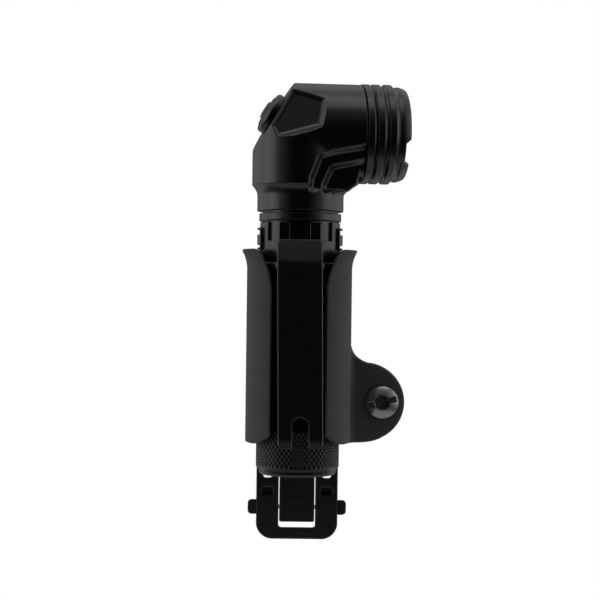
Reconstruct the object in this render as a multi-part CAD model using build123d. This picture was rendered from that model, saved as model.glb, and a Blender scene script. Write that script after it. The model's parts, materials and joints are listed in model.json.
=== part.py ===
"""Right-angle flashlight docked in a moulded belt holster with a hinged belt clip.

Millimetres, +Z up. The beam points to +X, the pocket clip faces -Y and the wearer's belt runs along X
through the origin, so +Y is the side of the wearer's body.
"""

import os
from math import cos, radians, sin

from build123d import *

# ---- belt and belt clip -------------------------------------------------------------------------------------------
BELT_WIDTH = 50.8          # duty belt, 2 in
BELT_GAP = 0.4             # play above and below the belt
CHANNEL_DEPTH = 6.8        # room for the belt between base and jaw, along Y
CLIP_X = 0.0               # centre of the belt clip
CLIP_WIDTH = 33.6
PLATE = 3.6                # thickness of base and jaw
CLIP_BOTTOM = -88.2        # lower end of the base frame
CLIP_CORNER = 6.7          # rounded lower corners
HINGE_R = 2.8              # knuckle radius
HINGE_PIN_R = 1.25
PIN_FIT = 0.05             # running clearance of the hinge pin, on the radius
KNUCKLE_GAP = 0.3          # side play between knuckles
JAW_KNUCKLE = 14.0         # width of the middle knuckle
WINDOW_WIDTH = 15.1        # opening that takes the tongue
WINDOW_TOP = -44.0
WINDOW_BOTTOM = -83.6
TONGUE_WIDTH = 14.2
TONGUE_END = -81.1
TONGUE_THICK = 3.0
JAW_BEND_TOP = -36.0       # here the jaw starts to slope forward into the window
JAW_BEND_BOTTOM = -48.0
TAB_Z = -75.1              # release tabs
TAB_HEIGHT = 6.0           # the part that shows
TAB_BODY_HEIGHT = 8.0      # the wider part inside, held by the lip of its channel
TAB_LIP = 1.2
TAB_THICK = 2.0
TAB_OUT = 3.5              # how far a tab stands out of the frame
TAB_TRAVEL = 1.8
TAB_PLAY = 0.2
NOSE_HEIGHT = 1.6
NOSE_THICK = 0.8           # the nose is the back part of the tab's thickness
TAB_SPRING_R = 0.5
TAB_SPRING_ROOM = 0.2
CHANNEL_END = 1.6          # wall between a tab's channel and the window
SLOT_WIDTH = 3.6           # lightening slots of the base frame
SLOT_BOTTOM = -63.1
RECESS = (4.8, 3.2, 2.0)   # small marks pressed into the frame: width, height, depth
SPACER_BAR = 4.0           # height of the belt stop
SPACER_PEGS = 20.0         # between its two pegs
PEG_R = 1.5
RIVET_FIT = 0.1

# ---- holster ------------------------------------------------------------------------------------------------------
SHELL_R = 21.0             # outside of the moulded sheet
SHELL_WALL = 2.8
SHELL_TOP = 30.4
SHELL_FLARE = 8.0          # height of the flared mouth
FLARE_ANGLE = 16.0
SHELL_BOTTOM = -46.4
BACK_CORNER = 9.0          # outside corner radius of the flat back
FRONT_SLOT = 21.4          # opening for the pocket clip
LEDGE_REACH = 0.5           # how far the bead inside the mouth reaches under the collar's flange
LEDGE_HEIGHT = 3.0
LEDGE_TOP = 21.7
EAR_GAP = 3.4              # rubber spacer between the two layers of the ear
EAR_R = 15.9
EAR_X = 27.4               # centre of the ear's round side
EAR_Z = -30.8
EAR_RUN_IN = -8.0          # height where the ear grows out of the shell
SCREW_X = 34.2             # tension screw of the ear
SCREW_HEAD_R = 6.8
SCREW_HEAD = 3.0
SCREW_SLOT = 2.6
SCREW_SOCKET_R = 3.1
SCREW_R = 2.0
POST_R = 3.2
POST_FLANGE_R = 5.6
POST_FLANGE = 1.4
MOUNT_PITCH = 28.0         # between the two screws that hold the belt clip
MOUNT_HEAD_R = 4.5
MOUNT_HEAD = 1.1
MOUNT_R = 2.0

# ---- flashlight ---------------------------------------------------------------------------------------------------
LIGHT_X = 0.0
LIGHT_YAW = 8.0            # the head is turned a little towards the wearer
CELL_R = 13.25             # 26650 cell
CELL_LENGTH = 65.5
CELL_BOTTOM = -32.5
CELL_BUTTON = (4.5, 1.5)   # radius, height
CELL_WRAP = 0.15
CELL_FIT = 0.35             # between the cell and the tube
TUBE_STEP = 0.5             # the tube is this much thicker below the collar, on the radius
TUBE_TOP = 48.0
SEAT_WALL = 1.3             # of the reduced part of the tube that the collar turns on
COLLAR_FIT = 0.08
COLLAR_RISE = 1.1           # outside of the collar above its seat, on the radius
COLLAR_BOTTOM = 22.0
COLLAR_TOP = 41.2
COLLAR_FLANGE_RISE = 1.6    # stop flange above the collar
COLLAR_FLANGE = 3.0
FINGER_HEIGHT = 7.4
AXIAL_PLAY = 0.3
NECK_RING_RISE = 1.5        # above the seat, on the radius
NECK_RING = 3.2
NECK_RISE = 2.35            # neck of the head above the seat, on the radius
NECK_GROOVE = 0.8
SHOULDER_LOW = 51.6
SHOULDER_HIGH = 56.0
UPRIGHT_R = 19.4           # vertical part of the head
BARREL_R = 19.7            # horizontal part of the head
BARREL_Z = 77.3
HEAD_WALL = 2.4
STEP = 1.0                 # depth of each machined step on the head's cheeks
FACET_DISTANCE = 12.8      # the switch facet, from the middle of the elbow
FACET_SLOPE = 59.2
CHEEK_TOP_Y = 10.35         # half the distance between the two five-sided flats, at their top corners

BEZEL_FRONT = 41.5
RING_R = 20.0
RING_GROOVE = 1.0
RING_WIDTH = 3.0
RING_PITCH = 4.15
RING_START = 25.2          # first ring, turned on the housing itself
TOOTH_DEPTH = 2.1
NOTCH_ANGLE = 26.0         # below level, on both sides of the rim
NOTCH_WIDTH = 9.6          # at the bottom of a notch
LENS_R = 17.3
LENS_THICK = 2.5
LENS_SETBACK = 4.4
GASKET = 1.0
REFLECTOR_DEPTH = 16.0
REFLECTOR_WALL = 1.2
LED_SIZE = 5.0
LED_BOARD_R = 8.0
PILL_THICK = 3.5
DRIVER_THICK = 1.6
RETAINER_HEIGHT = 1.2

BUTTON_R = 6.4             # rubber-faced switch button
BUTTON_RISE = 3.0          # above the facet
BUTTON_TRAVEL = 1.2
BUTTON_PLAY = 0.3
SWITCH_RING_WALL = 1.8      # of the ring around the button
SWITCH_RING_RISE = 2.7
SWITCH_SINK = 3.6          # depth of the switch pocket below the facet
SWITCH_LEDGE = 0.6         # how far the ring covers the pocket's edge
SWITCH_BOARD_GAP = 0.6

CLIP_LEAF_WIDTH = 17.6
CLIP_LEAF_THICK = 1.4
CLIP_LEAF_TOP = 34.1
CLIP_LEAF_BEND = 24.9
CLIP_LEAF_END = -47.2
CLIP_LEAF_FLARE = -44.1
CLIP_FACE_Y = 22.6         # front of the leaf, from the light's axis
CLIP_FORK_WIDTH = 6.3
CLIP_FORK_TOP = -35.2
CLIP_OFFSET = 3.6          # how far the leaf's root lies behind its face
CLIP_GAP = 0.25            # between leaf and seat
RIVET_SHANK_R = 1.1
RIVET_DEPTH = 1.6          # how far the rivets reach into the seat
SEAT_WIDTH = 12.0

TAIL_TOP = -40.8           # joint between tube and tail cap
TAIL_WALL = 1.4             # of the cap around its thread
TAIL_KNURL_END = -56.2
TAIL_LIP_INSET = 1.1        # the smooth lip is this much smaller than the knurl
TAIL_END = -59.2
TAIL_FLOOR = 3.5
TAIL_THREAD_FIT = 0.2
TAIL_THREAD_RISE = 0.1      # thread above the seat, on the radius
TAIL_THREAD_LENGTH = 9.0
SEAL_R = 0.45              # o-ring section
SEAL_BELOW = 2.4           # from the joint down to the o-ring

# ---- worked out from the values above -----------------------------------------------------------------------------
CHANNEL = CHANNEL_DEPTH / 2
BELT_TOP = BELT_WIDTH / 2 + BELT_GAP
HINGE_Z = BELT_TOP + HINGE_R
BASE_FRONT = -CHANNEL - PLATE
LIGHT_Y = BASE_FRONT - SHELL_R
SHELL_IN = SHELL_R - SHELL_WALL
EAR_BACK = LIGHT_Y + SHELL_R               # back face of the ear, flush with the shell's back
EAR_FRONT = EAR_BACK - 2 * SHELL_WALL - EAR_GAP
LIGHT = Pos(LIGHT_X, LIGHT_Y, 0)
TURNED = LIGHT * Rot(0, 0, LIGHT_YAW)      # everything that swivels with the head
TUBE_BORE = CELL_R + CELL_FIT
COLLAR_SEAT_R = TUBE_BORE + SEAT_WALL
TUBE_R = COLLAR_SEAT_R + TUBE_STEP
COLLAR_R = COLLAR_SEAT_R + COLLAR_RISE
COLLAR_FLANGE_R = COLLAR_R + COLLAR_FLANGE_RISE
LEDGE_R = COLLAR_FLANGE_R - LEDGE_REACH
NECK_RING_R = COLLAR_SEAT_R + NECK_RING_RISE
NECK_R = COLLAR_SEAT_R + NECK_RISE
TAIL_THREAD_R = COLLAR_SEAT_R + TAIL_THREAD_RISE
CAP_BORE = TAIL_THREAD_R + TAIL_THREAD_FIT
TAIL_R = CAP_BORE + TAIL_WALL
TAIL_LIP_R = TAIL_R - TAIL_LIP_INSET
SEAL_AT = TAIL_THREAD_R - SEAL_R + 0.1
CHANNEL_START = WINDOW_WIDTH / 2 + CHANNEL_END
RIVET_Z = CLIP_LEAF_TOP - 2.7
RIVET_SPACING = 7.2
CLIP_ROOT_Y = CLIP_FACE_Y - CLIP_OFFSET    # front of the leaf's root, from the light's axis
SEAT_Y = CLIP_ROOT_Y - CLIP_LEAF_THICK - CLIP_GAP
FACET = Plane(
    origin=(-FACET_DISTANCE * sin(radians(FACET_SLOPE)), 0, BARREL_Z + FACET_DISTANCE * cos(radians(FACET_SLOPE))),
    x_dir=(0, 1, 0),
    z_dir=(-sin(radians(FACET_SLOPE)), 0, cos(radians(FACET_SLOPE))),
)
LENS_BACK = BEZEL_FRONT - LENS_SETBACK - LENS_THICK
SWITCH_RING_R = BUTTON_R + BUTTON_PLAY + SWITCH_RING_WALL
SWITCH_POCKET_R = SWITCH_RING_R - SWITCH_LEDGE
REFLECTOR_BACK = LENS_BACK - REFLECTOR_DEPTH
HOUSING_FRONT = RING_START - 0.5           # end of the plain barrel
BARREL_FRONT = RING_START + RING_WIDTH + 0.7    # where the bezel starts


def post(r, low, high):
    """A cylinder on Z between two heights."""
    return Pos(0, 0, (low + high) / 2) * Cylinder(r, high - low)


def ring(outer, inner, low, high):
    return post(outer, low, high) - post(inner, low - 1, high + 1)


def barrel(r, low, high):
    """A cylinder along X at the beam's height."""
    return Pos((low + high) / 2, 0, BARREL_Z) * Rot(0, 90, 0) * Cylinder(r, high - low)


def barrel_ring(outer, inner, low, high):
    return barrel(outer, low, high) - barrel(inner, low - 1, high + 1)


def block(x, y, z):
    """A box given by its three spans."""
    centre = Pos((x[0] + x[1]) / 2, (y[0] + y[1]) / 2, (z[0] + z[1]) / 2)
    return centre * Box(x[1] - x[0], y[1] - y[0], z[1] - z[0])


def along_y(r, x, z, low, high):
    """A cylinder along Y."""
    return Pos(x, (low + high) / 2, z) * Rot(90, 0, 0) * Cylinder(r, high - low)


def side_prism(points, low, high):
    """A prism along Y over an outline of (x, z) points."""
    outline = make_face(Polyline([(x, 0, z) for x, z in points], close=True))
    return Pos(0, low, 0) * extrude(outline, amount=high - low, dir=(0, 1, 0))


def coil(r, wire, low, high, turns):
    """A spring standing on Z."""
    pitch = (high - low - 2 * wire) / turns
    path = Helix(pitch, pitch * turns, r)
    section = Plane(origin=path @ 0, z_dir=path % 0) * Circle(wire)
    return Pos(0, 0, low + wire) * sweep(section, path, is_frenet=True)


# ---- holster ------------------------------------------------------------------------------------------------------
def shell_outline(r, corner):
    """Round at the front, flat with rounded corners at the back."""
    back = Pos(0, r / 2) * Rectangle(2 * r, r)
    back = fillet(back.vertices().sort_by(Axis.Y)[-2:], corner)
    return Circle(r) + back


def ear_outline():
    """The ear seen from the front, with its concave run-in from the shell."""
    run_in = Line((SHELL_R - SHELL_WALL, 0, EAR_RUN_IN - 6), (SHELL_R - SHELL_WALL, 0, EAR_RUN_IN))
    top = EAR_Z + EAR_R * sin(radians(62))
    side = EAR_X + EAR_R * cos(radians(62))
    entry = Spline(
        [run_in @ 1, (SHELL_R + 1.6, 0, EAR_RUN_IN - 3.4), (side, 0, top)],
        tangents=[(0.2, 0, -1), (1, 0, -0.35)],
    )
    round_side = ThreePointArc(
        (side, 0, top),
        (EAR_X + EAR_R, 0, EAR_Z),
        (EAR_X + EAR_R * cos(radians(-62)), 0, EAR_Z - EAR_R * sin(radians(62))),
    )
    foot = Polyline([round_side @ 1, (EAR_X - 4, 0, EAR_Z - EAR_R + 0.2), (SHELL_R - SHELL_WALL, 0, SHELL_BOTTOM)])
    inner = Line(foot @ 1, run_in @ 0)
    return make_face([*run_in.edges(), *entry.edges(), *round_side.edges(), *foot.edges(), *inner.edges()])


def ear_layer(low, high):
    """One layer of the ear, between two Y planes."""
    return Pos(0, low, 0) * extrude(ear_outline(), amount=high - low, dir=(0, 1, 0))


def holster_shell():
    outer = shell_outline(SHELL_R, BACK_CORNER)
    inner = shell_outline(SHELL_IN, BACK_CORNER - SHELL_WALL)
    mouth = SHELL_TOP - SHELL_FLARE
    body = Pos(0, 0, SHELL_BOTTOM) * extrude(outer - inner, amount=mouth - SHELL_BOTTOM)
    flare = extrude(outer, amount=SHELL_FLARE, taper=-FLARE_ANGLE)
    flare -= extrude(inner, amount=SHELL_FLARE, taper=-FLARE_ANGLE)
    ledge = inner - Circle(LEDGE_R)
    ledge = Pos(0, 0, LEDGE_TOP - LEDGE_HEIGHT) * extrude(ledge, amount=LEDGE_HEIGHT)
    shell = body + Pos(0, 0, mouth) * flare + ledge
    shell -= block((-2 * SHELL_R, 2 * SHELL_R), (SHELL_R, 2 * SHELL_R), (mouth - 1, SHELL_TOP + 1))
    shell = LIGHT * shell
    half = FRONT_SLOT / 2
    slot = [
        (-half - 4, SHELL_BOTTOM - 1),
        (-half - 4, SHELL_BOTTOM),
        (-half, SHELL_BOTTOM + 4.6),
        (-half, mouth - 6),
        (-half - 1.2, mouth),
        (-half - 4, SHELL_TOP + 1),
        (half + 4, SHELL_TOP + 1),
        (half + 1.2, mouth),
        (half, mouth - 6),
        (half, SHELL_BOTTOM + 4.6),
        (half + 4, SHELL_BOTTOM),
        (half + 4, SHELL_BOTTOM - 1),
    ]
    shell -= Pos(LIGHT_X, 0, 0) * side_prism(slot, LIGHT_Y - 2 * SHELL_R, LIGHT_Y)
    shell += ear_layer(EAR_BACK - SHELL_WALL, EAR_BACK)
    shell += ear_layer(EAR_FRONT, EAR_FRONT + SHELL_WALL)
    # the fold is on the left, so the two layers stay apart all the way down the right side
    gap = (EAR_FRONT + SHELL_WALL, EAR_BACK - SHELL_WALL)
    shell -= block((LIGHT_X, EAR_X + 2 * EAR_R), gap, (SHELL_BOTTOM - 1, SHELL_TOP + 1)) - (
        LIGHT * post(SHELL_IN, SHELL_BOTTOM - 1, SHELL_TOP + 1)
    )
    shell -= LIGHT * post(LEDGE_R, SHELL_BOTTOM - 1, SHELL_TOP + 1)
    shell -= along_y(POST_R + RIVET_FIT, SCREW_X, EAR_Z, EAR_FRONT - 1, EAR_BACK + 1)
    for z in (-MOUNT_PITCH / 2, MOUNT_PITCH / 2):
        shell -= along_y(MOUNT_R + RIVET_FIT, CLIP_X, z, LIGHT_Y, EAR_BACK + 1)
    return shell


def retention_screw():
    """Slotted head with a socket, screwed into the post from the front."""
    head = along_y(SCREW_HEAD_R, SCREW_X, EAR_Z, EAR_FRONT - SCREW_HEAD, EAR_FRONT)
    head = fillet(head.edges().filter_by(GeomType.CIRCLE).sort_by(Axis.Y)[0], SCREW_HEAD * 0.6)
    head -= along_y(SCREW_SOCKET_R, SCREW_X, EAR_Z, EAR_FRONT - SCREW_HEAD - 1, EAR_FRONT - 0.8)
    slot = Box(3 * SCREW_HEAD_R, 2.4, SCREW_SLOT)
    head -= Pos(SCREW_X, EAR_FRONT - SCREW_HEAD, EAR_Z) * Rot(0, -15, 0) * slot
    return head + along_y(SCREW_R, SCREW_X, EAR_Z, EAR_FRONT - 0.8, EAR_BACK - 0.6)


def retention_post():
    """Flanged post from the back, with the screw's bore."""
    sleeve = along_y(POST_R, SCREW_X, EAR_Z, EAR_FRONT + 0.2, EAR_BACK)
    flange = along_y(POST_FLANGE_R, SCREW_X, EAR_Z, EAR_BACK, EAR_BACK + POST_FLANGE)
    return sleeve + flange - along_y(SCREW_R + 0.05, SCREW_X, EAR_Z, EAR_FRONT - 1, EAR_BACK - 0.4)


def retention_spacer():
    low, high = EAR_FRONT + SHELL_WALL, EAR_BACK - SHELL_WALL
    washer = along_y(SCREW_HEAD_R - 0.6, SCREW_X, EAR_Z, low, high)
    return washer - along_y(POST_R + RIVET_FIT, SCREW_X, EAR_Z, low - 1, high + 1)


def mount_screws():
    """Two low-head screws from inside the shell into the belt clip's base."""
    inside = EAR_BACK - SHELL_WALL
    screws = []
    for z in (-MOUNT_PITCH / 2, MOUNT_PITCH / 2):
        head = along_y(MOUNT_HEAD_R, CLIP_X, z, inside - MOUNT_HEAD, inside)
        head -= Pos(CLIP_X, inside - MOUNT_HEAD, z) * Box(6, 1.2, 1)
        screws.append(head + along_y(MOUNT_R, CLIP_X, z, inside, BASE_FRONT + PLATE - 0.6))
    return Compound(screws)


# ---- belt clip ----------------------------------------------------------------------------------------------------
def clip_plate(width, low, high, y, corner):
    """A flat plate with rounded lower corners, between two Y planes."""
    plate = block((CLIP_X - width / 2, CLIP_X + width / 2), y, (low, high))
    return fillet(plate.edges().filter_by(Axis.Y).sort_by(Axis.Z)[:2], corner)


def rail_side(side):
    """Middle of a rail of the base frame; side is -1 on the left and 1 on the right."""
    return CLIP_X + side * (WINDOW_WIDTH / 2 + CLIP_WIDTH / 2) / 2


def belt_clip_base():
    back = BASE_FRONT + PLATE
    half = CLIP_WIDTH / 2
    base = clip_plate(CLIP_WIDTH, CLIP_BOTTOM, HINGE_Z, (BASE_FRONT, back), CLIP_CORNER)
    knuckle = Pos(CLIP_X, 0, HINGE_Z) * Rot(0, 90, 0) * Cylinder(HINGE_R, CLIP_WIDTH)
    arm = block((CLIP_X - half, CLIP_X + half), (BASE_FRONT, 0), (BELT_TOP, HINGE_Z + HINGE_R))
    base += knuckle + fillet(arm.edges().filter_by(Axis.X).sort_by(Axis.Z)[-2:].sort_by(Axis.Y)[:1], HINGE_R)
    clear = JAW_KNUCKLE / 2 + KNUCKLE_GAP
    base -= block((CLIP_X - clear, CLIP_X + clear), (back - 0.01, 2 * HINGE_R), (BELT_TOP - 1, HINGE_Z + 2 * HINGE_R))
    base -= Pos(CLIP_X, 0, HINGE_Z) * Rot(0, 90, 0) * Cylinder(HINGE_R + 0.4, 2 * clear)
    base -= Pos(CLIP_X, 0, HINGE_Z) * Rot(0, 90, 0) * Cylinder(HINGE_PIN_R, 2 * CLIP_WIDTH)
    window = (CLIP_X - WINDOW_WIDTH / 2, CLIP_X + WINDOW_WIDTH / 2)
    base -= block(window, (BASE_FRONT - 1, back + 1), (WINDOW_BOTTOM, WINDOW_TOP))
    for side in (-1, 1):
        x = rail_side(side)
        slot = (x - SLOT_WIDTH / 2, x + SLOT_WIDTH / 2)
        base -= block(slot, (BASE_FRONT - 1, back + 1), (SLOT_BOTTOM, WINDOW_TOP - 3))
        base -= Pos(x, BASE_FRONT, SLOT_BOTTOM - 5.2) * Box(RECESS[0], 2 * RECESS[2], RECESS[1])
        base -= tab_channel(side)
        peg_x = CLIP_X + side * SPACER_PEGS / 2
        base -= along_y(PEG_R, peg_x, -BELT_TOP - SPACER_BAR / 2, BASE_FRONT + 1, back + 1)
    for z in (-MOUNT_PITCH / 2, MOUNT_PITCH / 2):
        base -= along_y(MOUNT_R, CLIP_X, z, BASE_FRONT - 1, back + 1)
    return base


def tab_centre_y():
    return BASE_FRONT + PLATE / 2


def tab_block(side, start, end, height, play=0.0):
    """A box across one rail, between two distances from the clip's centre line."""
    low, high = sorted((CLIP_X + side * start, CLIP_X + side * end))
    half_y, half_z = TAB_THICK / 2 + play, height / 2 + play
    y = tab_centre_y()
    return block((low, high), (y - half_y, y + half_y), (TAB_Z - half_z, TAB_Z + half_z))


def nose_front():
    """Front face of a tab's nose."""
    return tab_centre_y() + TAB_THICK / 2 - NOSE_THICK


def nose_block(side, start, end, play=0.0):
    """A tab's nose, or the room for it, between two distances from the clip's centre line."""
    nose = tab_block(side, start, end, NOSE_HEIGHT, play)
    reach = CLIP_WIDTH
    behind = block((CLIP_X - reach, CLIP_X + reach), (nose_front() - play, reach), (TAB_Z - reach, TAB_Z + reach))
    return nose & behind


def tab_channel(side):
    """Room for a release tab: its nose, its body and, at the lip, the part that shows."""
    edge = CLIP_WIDTH / 2
    channel = nose_block(side, WINDOW_WIDTH / 2 - 1, edge - TAB_LIP, TAB_PLAY)
    channel += tab_block(side, CHANNEL_START, edge - TAB_LIP, TAB_BODY_HEIGHT, TAB_PLAY)
    return channel + tab_block(side, CHANNEL_START, edge + 1, TAB_HEIGHT, TAB_PLAY)


def release_tab(side):
    """Sliding button with a nose that meets the tongue."""
    shoulder = CHANNEL_START + TAB_TRAVEL + TAB_PLAY
    lip = CLIP_WIDTH / 2 - TAB_LIP - TAB_PLAY
    button = tab_block(side, shoulder, CLIP_WIDTH / 2 + TAB_OUT, TAB_HEIGHT)
    outer_edges = button.edges().filter_by(Axis.Y).sort_by(Axis.X)[::side][-2:]
    tab = fillet(outer_edges, 1.6) + tab_block(side, shoulder, lip, TAB_BODY_HEIGHT)
    tab += nose_block(side, TONGUE_WIDTH / 2 + TAB_PLAY, shoulder)
    for at in spring_places(side, 3 * TAB_TRAVEL):
        tab -= at * Cylinder(TAB_SPRING_R + TAB_SPRING_ROOM, 3 * TAB_TRAVEL)
    return tab


def spring_places(side, length):
    """Where the springs above and below a tab's nose lie, from the channel's end outwards."""
    x = CLIP_X + side * (CHANNEL_START + length / 2)
    middle = (NOSE_HEIGHT + TAB_BODY_HEIGHT) / 4
    return [Pos(x, tab_centre_y(), TAB_Z + z * middle) * Rot(0, 90, 0) for z in (-1, 1)]


def tab_springs():
    """Four small springs, at the length that they have when the tabs are pressed."""
    spring = Cylinder(TAB_SPRING_R, TAB_TRAVEL) - Cylinder(TAB_SPRING_R / 2, 2 * TAB_TRAVEL)
    return Compound([at * spring for side in (-1, 1) for at in spring_places(side, TAB_TRAVEL)])


def belt_clip_jaw():
    """Back leaf: middle knuckle, plate behind the belt, and the tongue that reaches forward into the window."""
    half = CLIP_WIDTH / 2
    y = (CHANNEL, CHANNEL + PLATE)
    jaw = clip_plate(CLIP_WIDTH, JAW_BEND_TOP, BELT_TOP - 0.3, y, CLIP_CORNER)
    knuckle = JAW_KNUCKLE / 2
    jaw += block((CLIP_X - knuckle, CLIP_X + knuckle), (0, y[1]), (BELT_TOP - 0.4, HINGE_Z + HINGE_R))
    corner = Pos(CLIP_X, 0, HINGE_Z) * Rot(0, 90, 0) * Cylinder(HINGE_R, JAW_KNUCKLE)
    jaw = jaw - block((CLIP_X - half, CLIP_X + half), (-1, 0), (HINGE_Z, HINGE_Z + 9)) + corner
    tongue_front = tab_centre_y() - TONGUE_THICK / 2
    side = [
        (y[0], JAW_BEND_TOP + 8),
        (y[1], JAW_BEND_TOP + 8),
        (y[1], JAW_BEND_TOP),
        (tongue_front + TONGUE_THICK, JAW_BEND_BOTTOM - 4),
        (tongue_front + TONGUE_THICK, TONGUE_END),
        (tongue_front, TONGUE_END),
        (tongue_front, JAW_BEND_BOTTOM - 2),
        (y[0], JAW_BEND_TOP + 1),
    ]
    outline = make_face(Polyline([(0, v, z) for v, z in side], close=True))
    tongue = Pos(CLIP_X - TONGUE_WIDTH / 2, 0, 0) * extrude(outline, amount=TONGUE_WIDTH, dir=(1, 0, 0))
    jaw += tongue
    # pockets in the back of the tongue, which the tabs' noses enter when they are pressed
    for s in (-1, 1):
        edge = CLIP_X + s * TONGUE_WIDTH / 2
        inner = edge - s * (TAB_TRAVEL + 0.3)
        notch = (min(edge + s, inner), max(edge + s, inner))
        height = NOSE_HEIGHT / 2 + 0.4
        jaw -= block(notch, (nose_front() - TAB_PLAY, tongue_front + TONGUE_THICK + 0.5), (TAB_Z - height, TAB_Z + height))
    jaw -= Pos(CLIP_X, 0, HINGE_Z) * Rot(0, 90, 0) * Cylinder(HINGE_PIN_R + PIN_FIT, 2 * JAW_KNUCKLE)
    return jaw


def hinge_pin():
    return Pos(CLIP_X, 0, HINGE_Z) * Rot(0, 90, 0) * Cylinder(HINGE_PIN_R, CLIP_WIDTH - 1)


def belt_spacer_bar():
    """Stop under the belt, pegged into the base."""
    back = BASE_FRONT + PLATE
    z = -BELT_TOP - SPACER_BAR / 2
    bar = block((CLIP_X - 13, CLIP_X + 13), (back, CHANNEL - 0.6), (z - SPACER_BAR / 2, z + SPACER_BAR / 2))
    for side in (-1, 1):
        bar += along_y(PEG_R - 0.02, CLIP_X + side * SPACER_PEGS / 2, z, back - 2, back)
    return bar


# ---- flashlight: tube, collar and clip ----------------------------------------------------------------------------
def body_tube():
    tube = post(TUBE_R, TAIL_TOP, COLLAR_BOTTOM - AXIAL_PLAY) + post(COLLAR_SEAT_R, TAIL_TOP, TUBE_TOP)
    tail = TAIL_TOP - TAIL_THREAD_LENGTH
    tube += post(TAIL_THREAD_R, tail, TAIL_TOP)
    tube -= post(TUBE_BORE, tail - 1, TUBE_TOP + 1)
    groove = ring(TAIL_THREAD_R + 1, SEAL_AT - SEAL_R, TAIL_TOP - SEAL_BELOW - SEAL_R, TAIL_TOP - SEAL_BELOW + SEAL_R)
    return TURNED * (tube - groove)


def tail_o_ring():
    """Rubber ring between tube and tail cap; it rides with the tube."""
    return TURNED * Pos(0, 0, TAIL_TOP - SEAL_BELOW) * Torus(SEAL_AT, SEAL_R - 0.02)


def neck_ring():
    low = COLLAR_TOP + 0.4
    return TURNED * ring(NECK_RING_R, COLLAR_SEAT_R, low, low + NECK_RING)


def wedge(r, start, end, low, high):
    """A slice of a cylinder between two angles from the front (-Y)."""
    middle, half = radians((start + end) / 2), radians((end - start) / 2)
    reach = 2 * r

    def spoke(angle):
        return (reach * sin(angle), -reach * cos(angle))

    outline = make_face(Polyline([(0, 0), spoke(middle - half), spoke(middle), spoke(middle + half)], close=True))
    return Pos(0, 0, low) * extrude(outline, amount=high - low)


def clip_collar():
    """Turning ring with castellations, a stop flange and the seat of the pocket clip."""
    bore = COLLAR_SEAT_R + COLLAR_FIT
    collar = ring(COLLAR_R, bore, COLLAR_BOTTOM, COLLAR_TOP)
    collar += ring(COLLAR_FLANGE_R, bore, COLLAR_BOTTOM, COLLAR_BOTTOM + COLLAR_FLANGE)
    root = COLLAR_TOP - FINGER_HEIGHT
    for start in (-52, -14.3, 32):
        gap = 28.6 if start == -14.3 else 20
        collar -= wedge(COLLAR_R, start, start + gap, root, COLLAR_TOP + 1)
    for z in (COLLAR_TOP - 5.5, COLLAR_TOP - 11.2):
        collar -= ring(COLLAR_R + 1, COLLAR_R - 0.6, z, z + 1.6)
    seat = block((-SEAT_WIDTH / 2, SEAT_WIDTH / 2), (-SEAT_Y, -bore), (COLLAR_BOTTOM + COLLAR_FLANGE, root))
    collar += seat - post(bore, 0, COLLAR_TOP)
    for x in (-RIVET_SPACING / 2, RIVET_SPACING / 2):
        collar -= along_y(RIVET_SHANK_R, x, RIVET_Z, -SEAT_Y - 1, -SEAT_Y + RIVET_DEPTH)
    return LIGHT * collar


def leaf_side():
    """Side outline (y, z) of the pocket clip's leaf, thicker at its root."""
    face = -CLIP_FACE_Y
    back = face + CLIP_LEAF_THICK
    root = -CLIP_ROOT_Y
    return [
        (root, CLIP_LEAF_TOP),
        (face, CLIP_LEAF_BEND),
        (face + 0.6, CLIP_LEAF_FLARE),
        (face - 1.2, CLIP_LEAF_END),
        (back - 1.2, CLIP_LEAF_END),
        (back + 0.6, CLIP_LEAF_FLARE),
        (back, CLIP_LEAF_BEND),
        (root + CLIP_LEAF_THICK, CLIP_LEAF_TOP - 5),
        (root + CLIP_LEAF_THICK, CLIP_LEAF_TOP),
    ]


def pocket_clip():
    outline = make_face(Polyline([(0, y, z) for y, z in leaf_side()], close=True))
    half = CLIP_LEAF_WIDTH / 2
    leaf = Pos(-half, 0, 0) * extrude(outline, amount=CLIP_LEAF_WIDTH, dir=(1, 0, 0))
    leaf = fillet(leaf.edges().filter_by(Axis.Y).sort_by(Axis.Z)[-2:], 2)
    low, high = -CLIP_FACE_Y - 9, -CLIP_FACE_Y + 9
    fork = block((-CLIP_FORK_WIDTH / 2, CLIP_FORK_WIDTH / 2), (low, high), (CLIP_LEAF_END - 1, CLIP_FORK_TOP - 3.2))
    fork += along_y(CLIP_FORK_WIDTH / 2, 0, CLIP_FORK_TOP - CLIP_FORK_WIDTH / 2, low, high)
    leaf -= fork
    for x in (-RIVET_SPACING / 2, RIVET_SPACING / 2):
        leaf -= along_y(RIVET_SHANK_R + RIVET_FIT, x, RIVET_Z, low, high)
    return LIGHT * leaf


def clip_rivets():
    """Flush rivets that tie the clip's root to the collar's seat."""
    places = (-RIVET_SPACING / 2, RIVET_SPACING / 2)
    low, high = -CLIP_ROOT_Y + 0.1, -SEAT_Y + RIVET_DEPTH - 0.1
    return Compound([LIGHT * along_y(RIVET_SHANK_R, x, RIVET_Z, low, high) for x in places])


def battery_cell():
    low, high = CELL_BOTTOM, CELL_BOTTOM + CELL_LENGTH
    return TURNED * (post(CELL_R - CELL_WRAP, low, high) + post(CELL_BUTTON[0], high, high + CELL_BUTTON[1]))


def cell_wrap():
    low, high = CELL_BOTTOM, CELL_BOTTOM + CELL_LENGTH
    wrap = ring(CELL_R, CELL_R - CELL_WRAP, low, high)
    return TURNED * (wrap + ring(CELL_R, CELL_R - 2.5, high, high + 0.4))


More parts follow.
